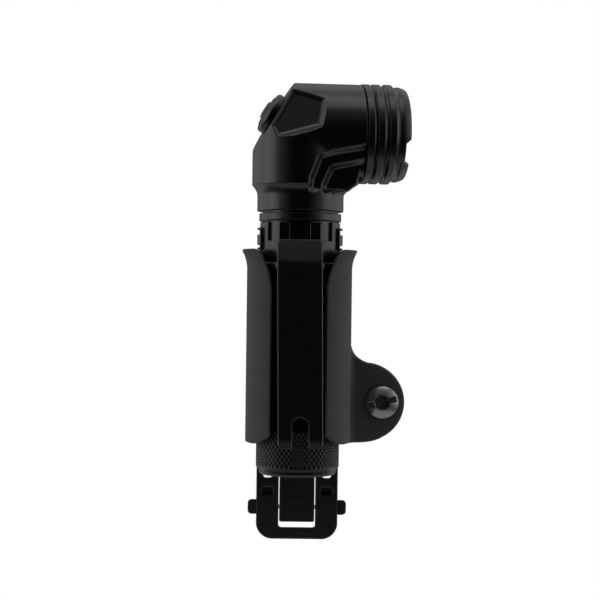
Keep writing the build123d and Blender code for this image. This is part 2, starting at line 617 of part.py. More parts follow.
# ---- flashlight: tail cap -----------------------------------------------------------------------------------------
def tail_cap():
    cap = post(TAIL_R, TAIL_KNURL_END, TAIL_TOP - AXIAL_PLAY)
    lip = post(TAIL_LIP_R, TAIL_END, TAIL_KNURL_END)
    cap += fillet(lip.edges().filter_by(GeomType.CIRCLE).sort_by(Axis.Z)[0], 1.5)
    cap -= post(CAP_BORE, TAIL_END + TAIL_FLOOR, TAIL_TOP + 1)
    cap -= post(6.2, TAIL_END - 1, TAIL_END + 2)
    return TURNED * cap


def tail_magnet():
    return TURNED * post(6.15, TAIL_END + 0.3, TAIL_END + 2)


def tail_contact_board():
    low = TAIL_END + TAIL_FLOOR
    return TURNED * post(CAP_BORE - 0.4, low + 0.1, low + 1.7)


def tail_spring():
    low = TAIL_END + TAIL_FLOOR + 1.7
    return TURNED * coil(5.0, 0.55, low, CELL_BOTTOM, 6)


# ---- flashlight: head ---------------------------------------------------------------------------------------------
def head_mass(inset):
    """Upright and barrel of the head, shrunk evenly by inset."""
    upright = post(UPRIGHT_R - inset, SHOULDER_HIGH, BARREL_Z)
    tube = barrel(BARREL_R - inset, 0, HOUSING_FRONT)
    elbow = Pos(0, 0, BARREL_Z) * Sphere(UPRIGHT_R - inset)
    shoulder = Pos(0, 0, (SHOULDER_LOW + SHOULDER_HIGH) / 2) * Cone(
        NECK_R, UPRIGHT_R - inset, SHOULDER_HIGH - SHOULDER_LOW
    )
    return upright + tube + elbow + shoulder


def cheek_step(points, inset):
    """What is milled off both cheeks below and ahead of a line."""
    region = side_prism(points, -2 * BARREL_R, 2 * BARREL_R)
    return region - head_mass(inset)


def cheek_flat(side):
    """The sunk five-sided flat beside the switch facet; side is -1 at the front and 1 at the back."""
    outline = [(-5.0, 92.9), (6.9, 89.2), (4.9, 78.6), (-11.4, 74.2), (-13.4, 78.6)]
    prism = side_prism(outline, 0, side * 2 * BARREL_R)
    plane = Plane(origin=(-5.0, side * CHEEK_TOP_Y, 92.9), z_dir=(-0.234, side * 0.919, 0.317))
    return prism & (plane * Pos(0, 0, 30) * Box(120, 120, 60))


def head_housing():
    neck_low = COLLAR_TOP + 0.4 + NECK_RING + NECK_GROOVE
    front = HOUSING_FRONT
    head = head_mass(0)
    outer = [(front + 1, 71.2), (5.7, 67.0), (1.0, 57.1), (1.2, SHOULDER_LOW), (40, SHOULDER_LOW), (40, 71.2)]
    inner = [(front + 1, 65.9), (11.4, 61.7), (6.9, 56.3), (7.6, SHOULDER_LOW), (40, SHOULDER_LOW), (40, 65.9)]
    head -= cheek_step(outer, STEP) + cheek_step(inner, 2 * STEP)
    head += post(NECK_R, neck_low, SHOULDER_LOW)
    head += barrel(RING_R - RING_GROOVE - 0.4, front - 1, BARREL_FRONT)
    head += barrel(RING_R, RING_START, RING_START + RING_WIDTH)
    head -= cheek_flat(-1) + cheek_flat(1)
    head -= FACET * Pos(0, 0, 20) * Box(80, 80, 40)
    head -= post(COLLAR_SEAT_R, neck_low - 1, TUBE_TOP + 0.1)
    head -= post(TUBE_BORE, neck_low - 1, BARREL_Z)
    head -= barrel(UPRIGHT_R - HEAD_WALL - 2.4, -4, REFLECTOR_BACK - PILL_THICK)
    head -= barrel(BARREL_R - HEAD_WALL - 1, REFLECTOR_BACK - PILL_THICK, BARREL_FRONT + 1)
    head -= FACET * Cylinder(SWITCH_POCKET_R, 2 * SWITCH_SINK)
    head -= FACET * Pos(0, 0, -6) * Cylinder(2.2, 12)
    return TURNED * head


def bezel_ring():
    """Screwed front of the head: cooling rings and a crenellated rim."""
    bezel = barrel(RING_R - RING_GROOVE, BARREL_FRONT, BEZEL_FRONT)
    for i in range(1, 3):
        start = RING_START + i * RING_PITCH
        bezel += barrel(RING_R, max(start, BARREL_FRONT), start + RING_WIDTH)
    rim = barrel(RING_R, RING_START + 3 * RING_PITCH + 0.2, BEZEL_FRONT)
    bezel += fillet(rim.edges().filter_by(GeomType.CIRCLE).sort_by(Axis.X)[-1], 2.2)
    bezel -= barrel(LENS_R + 0.1, LENS_BACK - GASKET, BEZEL_FRONT - LENS_SETBACK)
    bezel -= barrel(LENS_R - 1.2, BARREL_FRONT - 1, BEZEL_FRONT + 1)
    bezel -= barrel(LENS_R + 0.1, BARREL_FRONT - 1, LENS_BACK - GASKET + 0.01)
    half = NOTCH_WIDTH / 2
    outline = [(-TOOTH_DEPTH, -half), (0.5, -half - 2), (0.5, half + 2), (-TOOTH_DEPTH, half)]
    notch = extrude(make_face(Polyline([(x, y, 0) for x, y in outline], close=True)), amount=RING_R)
    for angle in (90 + NOTCH_ANGLE, -90 - NOTCH_ANGLE):
        bezel -= Pos(BEZEL_FRONT, 0, BARREL_Z) * Rot(angle, 0, 0) * Pos(0, 0, RING_R / 2) * notch
    return TURNED * bezel


def lens():
    return TURNED * barrel(LENS_R, LENS_BACK, LENS_BACK + LENS_THICK)


def lens_gasket():
    return TURNED * barrel_ring(LENS_R, LENS_R - 1.4, LENS_BACK - GASKET, LENS_BACK)


def reflector():
    """Parabolic cup with its hole for the emitter."""
    front, back = LENS_BACK - GASKET, REFLECTOR_BACK
    rim = LENS_R - 1.6
    depth = front - back
    focus = rim**2 / (4 * (depth + 2))

    def cup(offset):
        outline = Spline([(x, 2 * (focus * (x + 2)) ** 0.5 + offset) for x in (0, depth * 0.3, depth * 0.65, depth)])
        face = make_face(
            [*outline.edges(), *Polyline([outline @ 1, (depth, 0), (0, 0), outline @ 0]).edges()]
        )
        return revolve(face, Axis.X)

    shape = cup(0) - cup(-REFLECTOR_WALL)
    shape += Pos(depth - 0.5, 0, 0) * Rot(0, 90, 0) * (Cylinder(rim, 1) - Cylinder(rim - REFLECTOR_WALL, 2))
    return TURNED * Pos(back, 0, BARREL_Z) * shape


def led_board():
    low = REFLECTOR_BACK - 1.8
    return TURNED * barrel(LED_BOARD_R, low, low + 1.6)


def led_emitter():
    low = REFLECTOR_BACK - 0.2
    body = Pos(low + 0.5, 0, BARREL_Z) * Box(1.0, LED_SIZE, LED_SIZE)
    dome = Pos(low + 1.0, 0, BARREL_Z) * Sphere(1.9)
    return TURNED * (body + (dome & block((low + 0.9, low + 5), (-3, 3), (BARREL_Z - 3, BARREL_Z + 3))))


def led_pill():
    """Aluminium slug that carries the emitter board and lets its heat into the housing."""
    high = REFLECTOR_BACK - 1.8
    return TURNED * (barrel(BARREL_R - HEAD_WALL - 1, high - 1.7, high) - barrel(1.6, high - 3, high + 1))


def driver_board():
    low = TUBE_TOP + 0.3
    return TURNED * post(TUBE_BORE - 0.1, low, low + DRIVER_THICK)


def driver_parts():
    """Inductor and capacitors on the driver board, and its contact pad underneath."""
    low = TUBE_TOP + 0.3
    top = low + DRIVER_THICK
    inductor = Pos(-3, 2, top + 1.6) * Box(6.4, 6.4, 3.2)
    caps = [Pos(5, y, top + 0.9) * Box(3.2, 1.8, 1.8) for y in (-4, 0, 4)]
    return Compound([TURNED * part for part in (inductor, *caps)])


def driver_retaining_ring():
    low = TUBE_TOP + 0.3 + DRIVER_THICK
    return TURNED * ring(TUBE_BORE, TUBE_BORE - 1.6, low, low + RETAINER_HEIGHT)


def head_contact_spring():
    return TURNED * coil(4.2, 0.5, CELL_BOTTOM + CELL_LENGTH + CELL_BUTTON[1], TUBE_TOP + 0.3, 5)


def led_wires():
    """Two leads from the driver board up and forward to the emitter board."""
    leads = []
    for y in (-0.7, 0.7):
        start = (1.5, y, TUBE_TOP + 0.3 + DRIVER_THICK)
        corner = (1.5, y, BARREL_Z)
        end = (REFLECTOR_BACK - 1.9, y, BARREL_Z)
        path = FilletPolyline([start, corner, end], radius=6)
        leads.append(TURNED * sweep(Plane(origin=start, z_dir=(0, 0, 1)) * Circle(0.45), path))
    return Compound(leads)


# ---- flashlight: switch -------------------------------------------------------------------------------------------
def facet_post(r, low, high):
    """A cylinder square to the switch facet, measured from its face."""
    return FACET * Pos(0, 0, (low + high) / 2) * Cylinder(r, high - low)


def switch_ring():
    """Screwed ring that holds the button in its pocket."""
    body = facet_post(SWITCH_RING_R, 0, SWITCH_RING_RISE) + facet_post(SWITCH_POCKET_R - 0.05, -2, 0)
    body -= facet_post(BUTTON_R + BUTTON_PLAY, -5, 5)
    return TURNED * body


def switch_button():
    """Round button with a raised grip pad; its flange sits under the ring."""
    body = facet_post(BUTTON_R, -1.6, BUTTON_RISE)
    body += facet_post(3.5, BUTTON_RISE, BUTTON_RISE + 0.9)
    return TURNED * body


def switch_board():
    board = facet_post(SWITCH_POCKET_R - SWITCH_BOARD_GAP, -SWITCH_SINK, -SWITCH_SINK + 0.4)
    return TURNED * board


def tact_switch():
    low = -SWITCH_SINK + 0.4
    return TURNED * facet_post(1.2, low, -1.6 - BUTTON_TRAVEL - 0.15)


PARTS = {
    "holster_shell": holster_shell,
    "retention_screw": retention_screw,
    "retention_post": retention_post,
    "retention_spacer": retention_spacer,
    "mount_screws": mount_screws,
    "belt_clip_base": belt_clip_base,
    "belt_spacer_bar": belt_spacer_bar,
    "hinge_pin": hinge_pin,
    "tab_springs": tab_springs,
    "belt_clip_jaw": belt_clip_jaw,
    "release_tab_left": lambda: release_tab(-1),
    "release_tab_right": lambda: release_tab(1),
    "clip_collar": clip_collar,
    "clip_rivets": clip_rivets,
    "pocket_clip": pocket_clip,
    "body_tube": body_tube,
    "tail_o_ring": tail_o_ring,
    "neck_ring": neck_ring,
    "battery_cell": battery_cell,
    "cell_wrap": cell_wrap,
    "head_contact_spring": head_contact_spring,
    "driver_board": driver_board,
    "driver_parts": driver_parts,
    "driver_retaining_ring": driver_retaining_ring,
    "led_wires": led_wires,
    "head_housing": head_housing,
    "bezel_ring": bezel_ring,
    "lens": lens,
    "lens_gasket": lens_gasket,
    "reflector": reflector,
    "led_emitter": led_emitter,
    "led_board": led_board,
    "led_pill": led_pill,
    "switch_ring": switch_ring,
    "switch_board": switch_board,
    "tact_switch": tact_switch,
    "switch_button": switch_button,
    "tail_cap": tail_cap,
    "tail_magnet": tail_magnet,
    "tail_contact_board": tail_contact_board,
    "tail_spring": tail_spring,
}

os.makedirs("parts", exist_ok=True)
for name, make in PARTS.items():
    export_step(make(), f"parts/{name}.step")
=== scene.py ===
"""Looks of a right-angle flashlight docked in a moulded belt holster with a hinged belt clip.

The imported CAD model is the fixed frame. Most visible pieces are distance fields in millimetres, meshed here
and put where the frame's joints and boxes say. Fields are negative inside and take arrays of points. Pieces
of the light are built with its own axis at x = y = 0 and the beam along +X.
"""

import json
from math import atan2, cos, hypot, pi, radians, sin

import bmesh
import bpy
import numpy as np
from mathutils import Matrix, Vector


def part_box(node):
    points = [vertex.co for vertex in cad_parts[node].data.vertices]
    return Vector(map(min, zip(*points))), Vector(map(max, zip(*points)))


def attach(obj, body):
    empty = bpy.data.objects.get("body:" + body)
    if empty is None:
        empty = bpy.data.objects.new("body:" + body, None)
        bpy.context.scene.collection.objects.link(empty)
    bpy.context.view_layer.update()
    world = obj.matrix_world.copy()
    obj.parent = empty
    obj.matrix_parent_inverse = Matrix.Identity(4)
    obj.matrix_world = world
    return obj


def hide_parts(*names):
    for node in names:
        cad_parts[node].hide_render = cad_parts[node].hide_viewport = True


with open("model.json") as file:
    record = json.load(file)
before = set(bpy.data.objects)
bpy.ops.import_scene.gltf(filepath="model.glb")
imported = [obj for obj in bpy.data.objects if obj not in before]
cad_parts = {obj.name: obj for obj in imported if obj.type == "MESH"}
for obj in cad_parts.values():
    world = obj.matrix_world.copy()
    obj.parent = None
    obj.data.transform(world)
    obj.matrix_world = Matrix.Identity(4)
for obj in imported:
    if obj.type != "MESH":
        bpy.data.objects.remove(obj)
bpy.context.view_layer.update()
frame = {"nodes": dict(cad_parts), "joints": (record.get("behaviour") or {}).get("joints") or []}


# ---- places read from the frame, in millimetres --------------------------------------------------
def span(node):
    """Lowest and highest corner of a CAD node in millimetres."""
    return [np.array(corner) * 1000 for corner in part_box(node)]


def joint(name):
    """A joint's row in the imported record."""
    return next(j for j in frame["joints"] if j["name"] == name)


press = joint("switch_press")["axis"]                      # into the head, square to the switch facet
LIGHT_YAW = atan2(press[1], press[0])
FACET_SLOPE = atan2(hypot(press[0], press[1]), -press[2])
LIGHT_X, LIGHT_Y = (v * 1000 for v in joint("light_swivel")["pos_m"][:2])
HINGE_Z = joint("jaw_open")["pos_m"][2] * 1000

neck_box, rim_box = span("neck_ring"), span("bezel_ring")
shell_box, screw_box, base_box = span("holster_shell"), span("retention_screw"), span("belt_clip_base")
jaw_box, tab_box = span("belt_clip_jaw"), span("release_tab_right")
cap_box, leaf_box = span("tail_cap"), span("pocket_clip")

# flashlight
BARREL_Z = (rim_box[0][2] + rim_box[1][2]) / 2
RING_R = (rim_box[1][2] - rim_box[0][2]) / 2
BARREL_R = RING_R - 0.3
UPRIGHT_R = 19.4
NECK_R = 17.25
SHOULDER_LOW, SHOULDER_HIGH = 51.6, 56.0
HEAD_LOW = 45.6
HOUSING_FRONT = 24.7
RING_START, RING_PITCH = 25.2, 4.15
BEZEL_FRONT = 41.5
LENS_R, LENS_BACK, LENS_THICK = 17.3, 34.6, 2.5
REFLECTOR_BACK = 18.6
FACET_DISTANCE = 12.8
BUTTON_R, SWITCH_RING_R = 6.4, 8.5
NECK_RING_LOW, NECK_RING_HIGH = neck_box[0][2], neck_box[1][2]
NECK_RING_R = 16.4
COLLAR_R, COLLAR_BORE, COLLAR_LOW, COLLAR_HIGH = 16.0, 14.98, 22.0, 41.2
COLLAR_FLANGE_R, COLLAR_FLANGE = 17.6, 3.0
TUBE_R, SEAT_R = 15.4, 14.9
TAIL_R, TAIL_TOP, TAIL_KNURL_END = 16.6, cap_box[1][2], -56.2
TAIL_LIP_R, TAIL_END = 15.5, cap_box[0][2]
LEAF_HALF = (leaf_box[1][0] - leaf_box[0][0]) / 2
LEAF_FACE_Y, LEAF_THICK = 22.6, 1.4
LEAF_TOP, LEAF_FLARE, LEAF_END = leaf_box[1][2], -44.1, leaf_box[0][2]
FORK_WIDTH, FORK_TOP = 6.3, -35.2

# holster
SHELL_R, SHELL_WALL, BACK_CORNER = 21.0, 2.8, 9.0
SHELL_TOP, SHELL_BOTTOM, MOUTH = shell_box[1][2], -46.4, 22.4
MOUTH_FLARE = 2.3
SLOT_HALF, SLOT_WIDEN_FROM = 10.7, 14.5
LEDGE_R, LEDGE_LOW, LEDGE_TOP = 17.1, 18.7, 21.7
EAR_X, EAR_Z, EAR_R, EAR_GAP = 27.4, -30.8, 15.9, 3.4
EAR_BACK = SHELL_R
EAR_FRONT = EAR_BACK - 2 * SHELL_WALL - EAR_GAP
SCREW_X = (screw_box[0][0] + screw_box[1][0]) / 2 - LIGHT_X
SCREW_Z = (screw_box[0][2] + screw_box[1][2]) / 2
SCREW_R, SOCKET_R, SCREW_HOLE_R = 6.8, 3.1, 3.3
DOME_R, DOME_DROP = 11.0, 7.75                             # the screw head's dome and its centre's depth

# belt clip, in the frame's own coordinates
BASE_HALF, BASE_FRONT, PLATE = base_box[1][0], base_box[0][1], 3.6
BASE_BOTTOM, CLIP_CORNER, HINGE_R = base_box[0][2], 6.7, 2.8
KNUCKLE_HALF, KNUCKLE_PLAY = 7.0, 0.3
WINDOW_HALF, WINDOW_LOW, WINDOW_HIGH = 7.55, -83.6, -44.0
SLOT_BOTTOM, RAIL_SLOT = -63.1, 3.6
TAB_Z = (tab_box[0][2] + tab_box[1][2]) / 2
TAB_OUT = tab_box[1][0]
CHANNEL = 3.4
BELT_TOP = HINGE_Z - HINGE_R

# places: local +Z is the beam in BEAM, and points out of the switch facet in FACET
DOCK = Matrix.Translation((LIGHT_X, LIGHT_Y, 0))
LIGHT = DOCK @ Matrix.Rotation(LIGHT_YAW, 4, "Z")
HERE = Matrix.Identity(4)
BEAM = LIGHT @ Matrix.Translation((0, 0, BARREL_Z)) @ Matrix.Rotation(pi / 2, 4, "Y")
FACET = LIGHT @ Matrix.Translation(
    (-FACET_DISTANCE * sin(FACET_SLOPE), 0, BARREL_Z + FACET_DISTANCE * cos(FACET_SLOPE))
) @ Matrix.Rotation(-FACET_SLOPE, 4, "Y")


# ---- distance fields -----------------------------------------------------------------------------
def both(a, b, r):
    """Where a and b overlap, with the edge between them rounded by r."""
    return np.minimum(np.maximum(a, b), -r) + np.hypot(np.maximum(a + r, 0), np.maximum(b + r, 0))


def either(a, b, r):
    """a and b joined, with a fillet of radius r in the corner between them."""
    return -both(-a, -b, r)


def bevelled(a, b, c):
    """Where a and b overlap, with a flat chamfer c deep on the edge."""
    return np.maximum(np.maximum(a, b), (a + b + c) * 0.7071)


def slab(v, low, high):
    """Everything between two planes."""
    return np.maximum(low - v, v - high)


def ease(t):
    """From 0 to 1 as t does, with a soft start and end."""
    t = np.clip(t, 0, 1)
    return t * t * (3 - 2 * t)


def flat_box(u, v, u_span, v_span, r):
    """A rectangle in the plane of u and v with round corners."""
    qu = np.abs(u - sum(u_span) / 2) - (u_span[1] - u_span[0]) / 2 + r
    qv = np.abs(v - sum(v_span) / 2) - (v_span[1] - v_span[0]) / 2 + r
    return np.hypot(np.maximum(qu, 0), np.maximum(qv, 0)) + np.minimum(np.maximum(qu, qv), 0) - r


def outline(points, u, v):
    """Distance to a closed outline in the plane of u and v."""
    nearest, inside = None, None
    for (u0, v0), (u1, v1) in zip(points, points[1:] + points[:1]):
        du, dv = u1 - u0, v1 - v0
        t = np.clip(((u - u0) * du + (v - v0) * dv) / (du * du + dv * dv), 0, 1)
        gap = (u - u0 - t * du) ** 2 + (v - v0 - t * dv) ** 2
        crossed = ((v0 > v) != (v1 > v)) & (u < u0 + (v - v0) * du / (dv if dv else 1e-9))
        nearest = gap if nearest is None else np.minimum(nearest, gap)
        inside = crossed if inside is None else inside ^ crossed
    return np.where(inside, -1, 1) * np.sqrt(nearest)


def bezier(a, b, c, d, steps=8):
    """Points of a cubic curve, both ends included."""
    t = np.linspace(0, 1, steps + 1)[:, None]
    a, b, c, d = (np.array(p, float) for p in (a, b, c, d))
    line = (1 - t) ** 3 * a + 3 * t * (1 - t) ** 2 * b + 3 * t * t * (1 - t) * c + t**3 * d
    return [tuple(p) for p in line]


# ---- meshing -------------------------------------------------------------------------------------
def net(field, low, high, cell):
    """Vertices and quads on the zero surface of a field, one vertex in each cell that it passes through."""
    counts = [int(np.ceil((h - l) / cell)) + 1 for l, h in zip(low, high)]
    ticks = [np.float32(l) + np.float32(cell) * np.arange(n, dtype=np.float32) for l, n in zip(low, counts)]
    values = np.broadcast_to(field(*np.meshgrid(*ticks, indexing="ij", sparse=True)), counts)
    values = np.ascontiguousarray(values, np.float32)
    inside = values < 0
    strides = np.array([counts[1] * counts[2], counts[2], 1], np.int64)
    owners, points, quads = [], [], []
    for axis in range(3):
        u, v = (axis + 1) % 3, (axis + 2) % 3
        here = [slice(1, -1)] * 3
        ahead = [slice(1, -1)] * 3
        here[axis], ahead[axis] = slice(0, -1), slice(1, None)
        at = np.argwhere(inside[tuple(here)] != inside[tuple(ahead)])
        at[:, u] += 1
        at[:, v] += 1
        step = np.zeros(3, int)
        step[axis] = 1
        fa = values[tuple(at.T)]
        fb = values[tuple((at + step).T)]
        crossing = at.astype(np.float64)
        crossing[:, axis] += fa / (fa - fb)
        corners = []
        for du, dv in ((0, 0), (1, 0), (1, 1), (0, 1)):
            cell_at = at.copy()
            cell_at[:, u] -= du
            cell_at[:, v] -= dv
            corners.append(cell_at @ strides)
            owners.append(corners[-1])
            points.append(crossing)
        quad = np.stack(corners, 1)
        quads.append(np.where((fa < 0)[:, None], quad, quad[:, ::-1]))
    owners, points, quads = np.concatenate(owners), np.concatenate(points), np.concatenate(quads)
    cells, which = np.unique(owners, return_inverse=True)
    total = np.bincount(which)
    verts = np.stack([np.bincount(which, points[:, k]) / total for k in range(3)], 1)
    verts = verts * cell + np.array(low)
    nudge = 0.2 * cell
    for _ in range(3):
        slope = np.stack(
            [field(*(verts + e).T) - field(*(verts - e).T) for e in np.eye(3) * nudge], 1
        ) / (2 * nudge)
        shift = field(*verts.T) / np.maximum((slope**2).sum(1), 0.2)
        verts -= np.clip(shift, -cell / 2, cell / 2)[:, None] * slope
    return verts, np.searchsorted(cells, quads)


def mesh_piece(name, verts, quads, place, body, finish, replaced):
    """A mesh object from millimetre points, put in its place, riding on its body."""
    mesh = bpy.data.meshes.new(name)
    mesh.vertices.add(len(verts))
    mesh.loops.add(quads.size)
    mesh.polygons.add(len(quads))
    turn = np.array(place.to_3x3())
    world = (verts @ turn.T + np.array(place.translation)) * 0.001
    mesh.vertices.foreach_set("co", world.astype(np.float32).ravel())
    mesh.loops.foreach_set("vertex_index", quads.astype(np.int32).ravel())
    mesh.polygons.foreach_set("loop_start", np.arange(0, quads.size, 4, dtype=np.int32))
    mesh.update(calc_edges=True)
    mesh.validate()
    mesh.polygons.foreach_set("use_smooth", [True] * len(mesh.polygons))
    piece = bpy.data.objects.new(name, mesh)
    bpy.context.scene.collection.objects.link(piece)
    mesh.materials.append(finish)
    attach(piece, body)
    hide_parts(*replaced)
    return piece


def solid(name, field, low, high, cell, place, body, finish, replaced):
    """The surface of a field between two corners, meshed in cells of one size."""
    verts, quads = net(field, low, high, cell)
    return mesh_piece(name, verts, quads, place, body, finish, replaced)


def merge_poles(mesh):
    """Joins the points that lie together on the axis of a turned mesh."""
    edit = bmesh.new()
    edit.from_mesh(mesh)
    bmesh.ops.remove_doubles(edit, verts=edit.verts, dist=1e-7)
    edit.to_mesh(mesh)
    edit.free()


def supported(profile, near=0.35):
    """The profile with extra points near the ends of its long lines, which keeps the edge wear and painted
    edge highlight at the edges.
    """
    points = []
    for (r, h), (next_r, next_h) in zip(profile, profile[1:] + profile[:1]):
        points.append((r, h))
        reach = hypot(next_r - r, next_h - h)
        if reach > 4 * near and (r or next_r):
            shares = (near / reach, 1 - near / reach)
            points += [(r + (next_r - r) * t, h + (next_h - h) * t) for t in shares]
    return points


def lathe(name, profile, place, body, finish, replaced, segments=160, shape=None):
    """A closed profile of (radius, height) points turned about local Z. shape may move the points."""
    profile = supported(profile)
    angle = np.arange(segments) * 2 * pi / segments
    r, h = (np.array(v, float)[:, None] for v in zip(*profile))
    r, h = np.broadcast_to(r, (len(profile), segments)), np.broadcast_to(h, (len(profile), segments))
    if shape:
        r, h = shape(r, h, angle)
    verts = np.stack([r * np.cos(angle), r * np.sin(angle), h], -1).reshape(-1, 3)
    row = np.arange(len(profile))[:, None] * segments
    col = np.arange(segments)[None, :]
    ahead_row, ahead_col = np.roll(row, -1, 0), np.roll(col, -1, 1)
    quads = np.stack([row + col, row + ahead_col, ahead_row + ahead_col, ahead_row + col], -1)
    on_axis = np.array([p[0] == 0 for p in profile])
    quads = quads[~(on_axis & np.roll(on_axis, -1))].reshape(-1, 4)
    piece = mesh_piece(name, verts, quads, place, body, finish, replaced)
    if on_axis.any():
        merge_poles(piece.data)
    return piece


def rounded_profile(corners, chamfer=0.2):
    """Profile corners (radius, height), each cut back by a small chamfer so that it catches light."""
    points = []
    for before, at, after in zip(corners[-1:] + corners[:-1], corners, corners[1:] + corners[:1]):
        for other in (before, after):
            reach = hypot(other[0] - at[0], other[1] - at[1])
            step = min(chamfer, reach / 3) / reach
            points.append((at[0] + (other[0] - at[0]) * step, at[1] + (other[1] - at[1]) * step))
    return points


# ---- materials -----------------------------------------------------------------------------------
CLOUD_SIZE, WEAR_AND_HIGHLIGHT_PATCH = 14.0, 3.0                          # millimetres: slow colour change, patches of edge wear and painted edge highlight


def colour_mix(nodes, link, first, second, factor=1.0, way="MIX"):
    """Two colours mixed by a node; each colour, and the factor, is a value or another node's output."""
    node = nodes.new("ShaderNodeMix")
    node.data_type, node.blend_type = "RGBA", way
    colours = [socket for socket in node.inputs if socket.type == "RGBA"]
    for socket, given in zip((node.inputs["Factor"], *colours), (factor, first, second)):
        if isinstance(given, bpy.types.NodeSocket):
            link(given, socket)
        else:
            socket.default_value = (*given, 1) if isinstance(given, tuple) else given
    return next(socket for socket in node.outputs if socket.type == "RGBA")


def finish(
    name, colour, roughness, metallic=0.0, grain=0.15, depth=0.004, mottle=0.2, edge_wear_and_highlight=None, specular=0.5,
    tint=None, clear=0.0,
):
    """A procedural material. Grain is the size of its texture in mm and depth its height in mm; mottle is
    how much the colour varies; the edge colour lightens sharp edges, partly as wear and partly as a painted
    highlight; clear is how much light passes."""
    made = bpy.data.materials.new(name)
    made.use_nodes = True
    nodes, link = made.node_tree.nodes, made.node_tree.links.new
    shader = nodes["Principled BSDF"]
    shader.inputs["Metallic"].default_value = metallic
    shader.inputs["Specular IOR Level"].default_value = specular
    if tint:
        shader.inputs["Specular Tint"].default_value = (*tint, 1)
    if clear:
        shader.inputs["Transmission Weight"].default_value = clear
    where = nodes.new("ShaderNodeTexCoord").outputs["Object"]

    def noise(size_mm, detail=3.0):
        node = nodes.new("ShaderNodeTexNoise")
        node.inputs["Scale"].default_value = 1000 / size_mm
        node.inputs["Detail"].default_value = detail
        link(where, node.inputs["Vector"])
        return node.outputs["Fac"]

    def mapped(value, low, high, start=0.3, end=0.7):
        node = nodes.new("ShaderNodeMapRange")
        node.inputs["From Min"].default_value, node.inputs["From Max"].default_value = start, end
        node.inputs["To Min"].default_value, node.inputs["To Max"].default_value = low, high
        link(value, node.inputs["Value"])
        return node.outputs["Result"]

    fine = noise(grain)
    cloudy = noise(CLOUD_SIZE, 4.0)
    dark = tuple(c * (1 - mottle) for c in colour)
    light = tuple(c * (1 + mottle) for c in colour)
    tone = colour_mix(nodes, link, dark, light, mapped(cloudy, 0, 1))
    tone = colour_mix(nodes, link, tone, light, mapped(fine, 0, 0.5))
    # Sharp edges are lightened: partly edge wear, partly a painted highlight where the edges would catch
    # light.
    if edge_wear_and_highlight:
        edges = nodes.new("ShaderNodeNewGeometry").outputs["Pointiness"]
        wear_and_highlight_mask = nodes.new("ShaderNodeMath")
        wear_and_highlight_mask.operation = "MULTIPLY"
        link(mapped(edges, 0, 1, 0.54, 0.61), wear_and_highlight_mask.inputs[0])
        link(mapped(noise(WEAR_AND_HIGHLIGHT_PATCH), 0.1, 1.0, 0.4, 0.65), wear_and_highlight_mask.inputs[1])
        tone = colour_mix(nodes, link, tone, edge_wear_and_highlight, wear_and_highlight_mask.outputs["Value"])
    link(tone, shader.inputs["Base Color"])
    link(mapped(fine, roughness * 0.88, min(1, roughness * 1.12)), shader.inputs["Roughness"])
    bump = nodes.new("ShaderNodeBump")
    bump.inputs["Distance"].default_value = depth / 1000
    bump.inputs["Strength"].default_value = 1.0
    link(fine, bump.inputs["Height"])
    link(bump.outputs["Normal"], shader.inputs["Normal"])
    return made


# The edge colours given below are partly wear and partly a painted edge highlight.
ANODISED = finish("hard_anodised", (0.0022, 0.0017, 0.0019), 0.27, grain=0.12, depth=0.0012,
                  edge_wear_and_highlight=(0.03, 0.027, 0.027), tint=(1.0, 0.92, 0.94))
KNURLED = finish("knurled_anodised", (0.0015, 0.0013, 0.0013), 0.24, grain=0.1, depth=0.001,
                 specular=0.35)
SHEET = finish("moulded_sheet", (0.064, 0.056, 0.059), 0.62, grain=0.35, depth=0.010, mottle=0.08,
               specular=0.12)
CLIP_PLASTIC = finish("clip_plastic", (0.0026, 0.0026, 0.0028), 0.42, grain=0.25, depth=0.004,
                      mottle=0.1)
TAB_PLASTIC = finish("tab_plastic", (0.008, 0.008, 0.0084), 0.36, grain=0.3, depth=0.003, mottle=0.1)
CLIP_STEEL = finish("clip_steel", (0.0050, 0.0048, 0.0054), 0.30, grain=0.2, depth=0.002, mottle=0.15,
                    edge_wear_and_highlight=(0.10, 0.095, 0.095))
GUNMETAL = finish("gunmetal", (0.24, 0.225, 0.218), 0.27, metallic=0.85, grain=0.3, depth=0.004,
                  mottle=0.25, edge_wear_and_highlight=(0.30, 0.28, 0.27))
RUBBER = finish("spacer_rubber", (0.012, 0.012, 0.012), 0.7, grain=0.4, depth=0.01)
BUTTON = finish("button_rubber", (0.016, 0.015, 0.016), 0.5, grain=0.25, depth=0.006)
SPRING = finish("spring_steel", (0.42, 0.41, 0.40), 0.25, metallic=1.0, grain=0.2, depth=0.001,
                mottle=0.1)
BRASS = finish("brass", (0.72, 0.55, 0.30), 0.28, metallic=1.0, grain=0.3, depth=0.001,
               mottle=0.1)
CELL_STEEL = finish("cell_steel", (0.55, 0.54, 0.52), 0.3, metallic=1.0, grain=0.3, depth=0.001,
                    mottle=0.08)
CELL_WRAP = finish("cell_wrap", (0.02, 0.10, 0.24), 0.35, grain=1.2, depth=0.003, mottle=0.08)
BOARD = finish("circuit_board", (0.02, 0.16, 0.06), 0.45, grain=0.6, depth=0.006, mottle=0.25)
COMPONENTS = finish("components", (0.05, 0.05, 0.05), 0.5, grain=0.4, depth=0.004)
WIRE = finish("wire_sleeve", (0.55, 0.05, 0.04), 0.45, grain=0.5, depth=0.002)
GLASS = finish("lens_glass", (0.93, 0.96, 0.97), 0.03, grain=2.0, depth=0.00005, mottle=0.02,
               clear=1.0)
MIRROR = finish("mirror_coat", (0.88, 0.88, 0.88), 0.10, metallic=1.0, grain=0.9, depth=0.006,
                mottle=0.02)
EMITTER = finish("emitter", (0.80, 0.68, 0.20), 0.4, grain=0.2, depth=0.002, mottle=0.1)
ALUMINIUM = finish("bare_aluminium", (0.72, 0.72, 0.73), 0.3, metallic=1.0, grain=0.3,
                   depth=0.002, mottle=0.05)

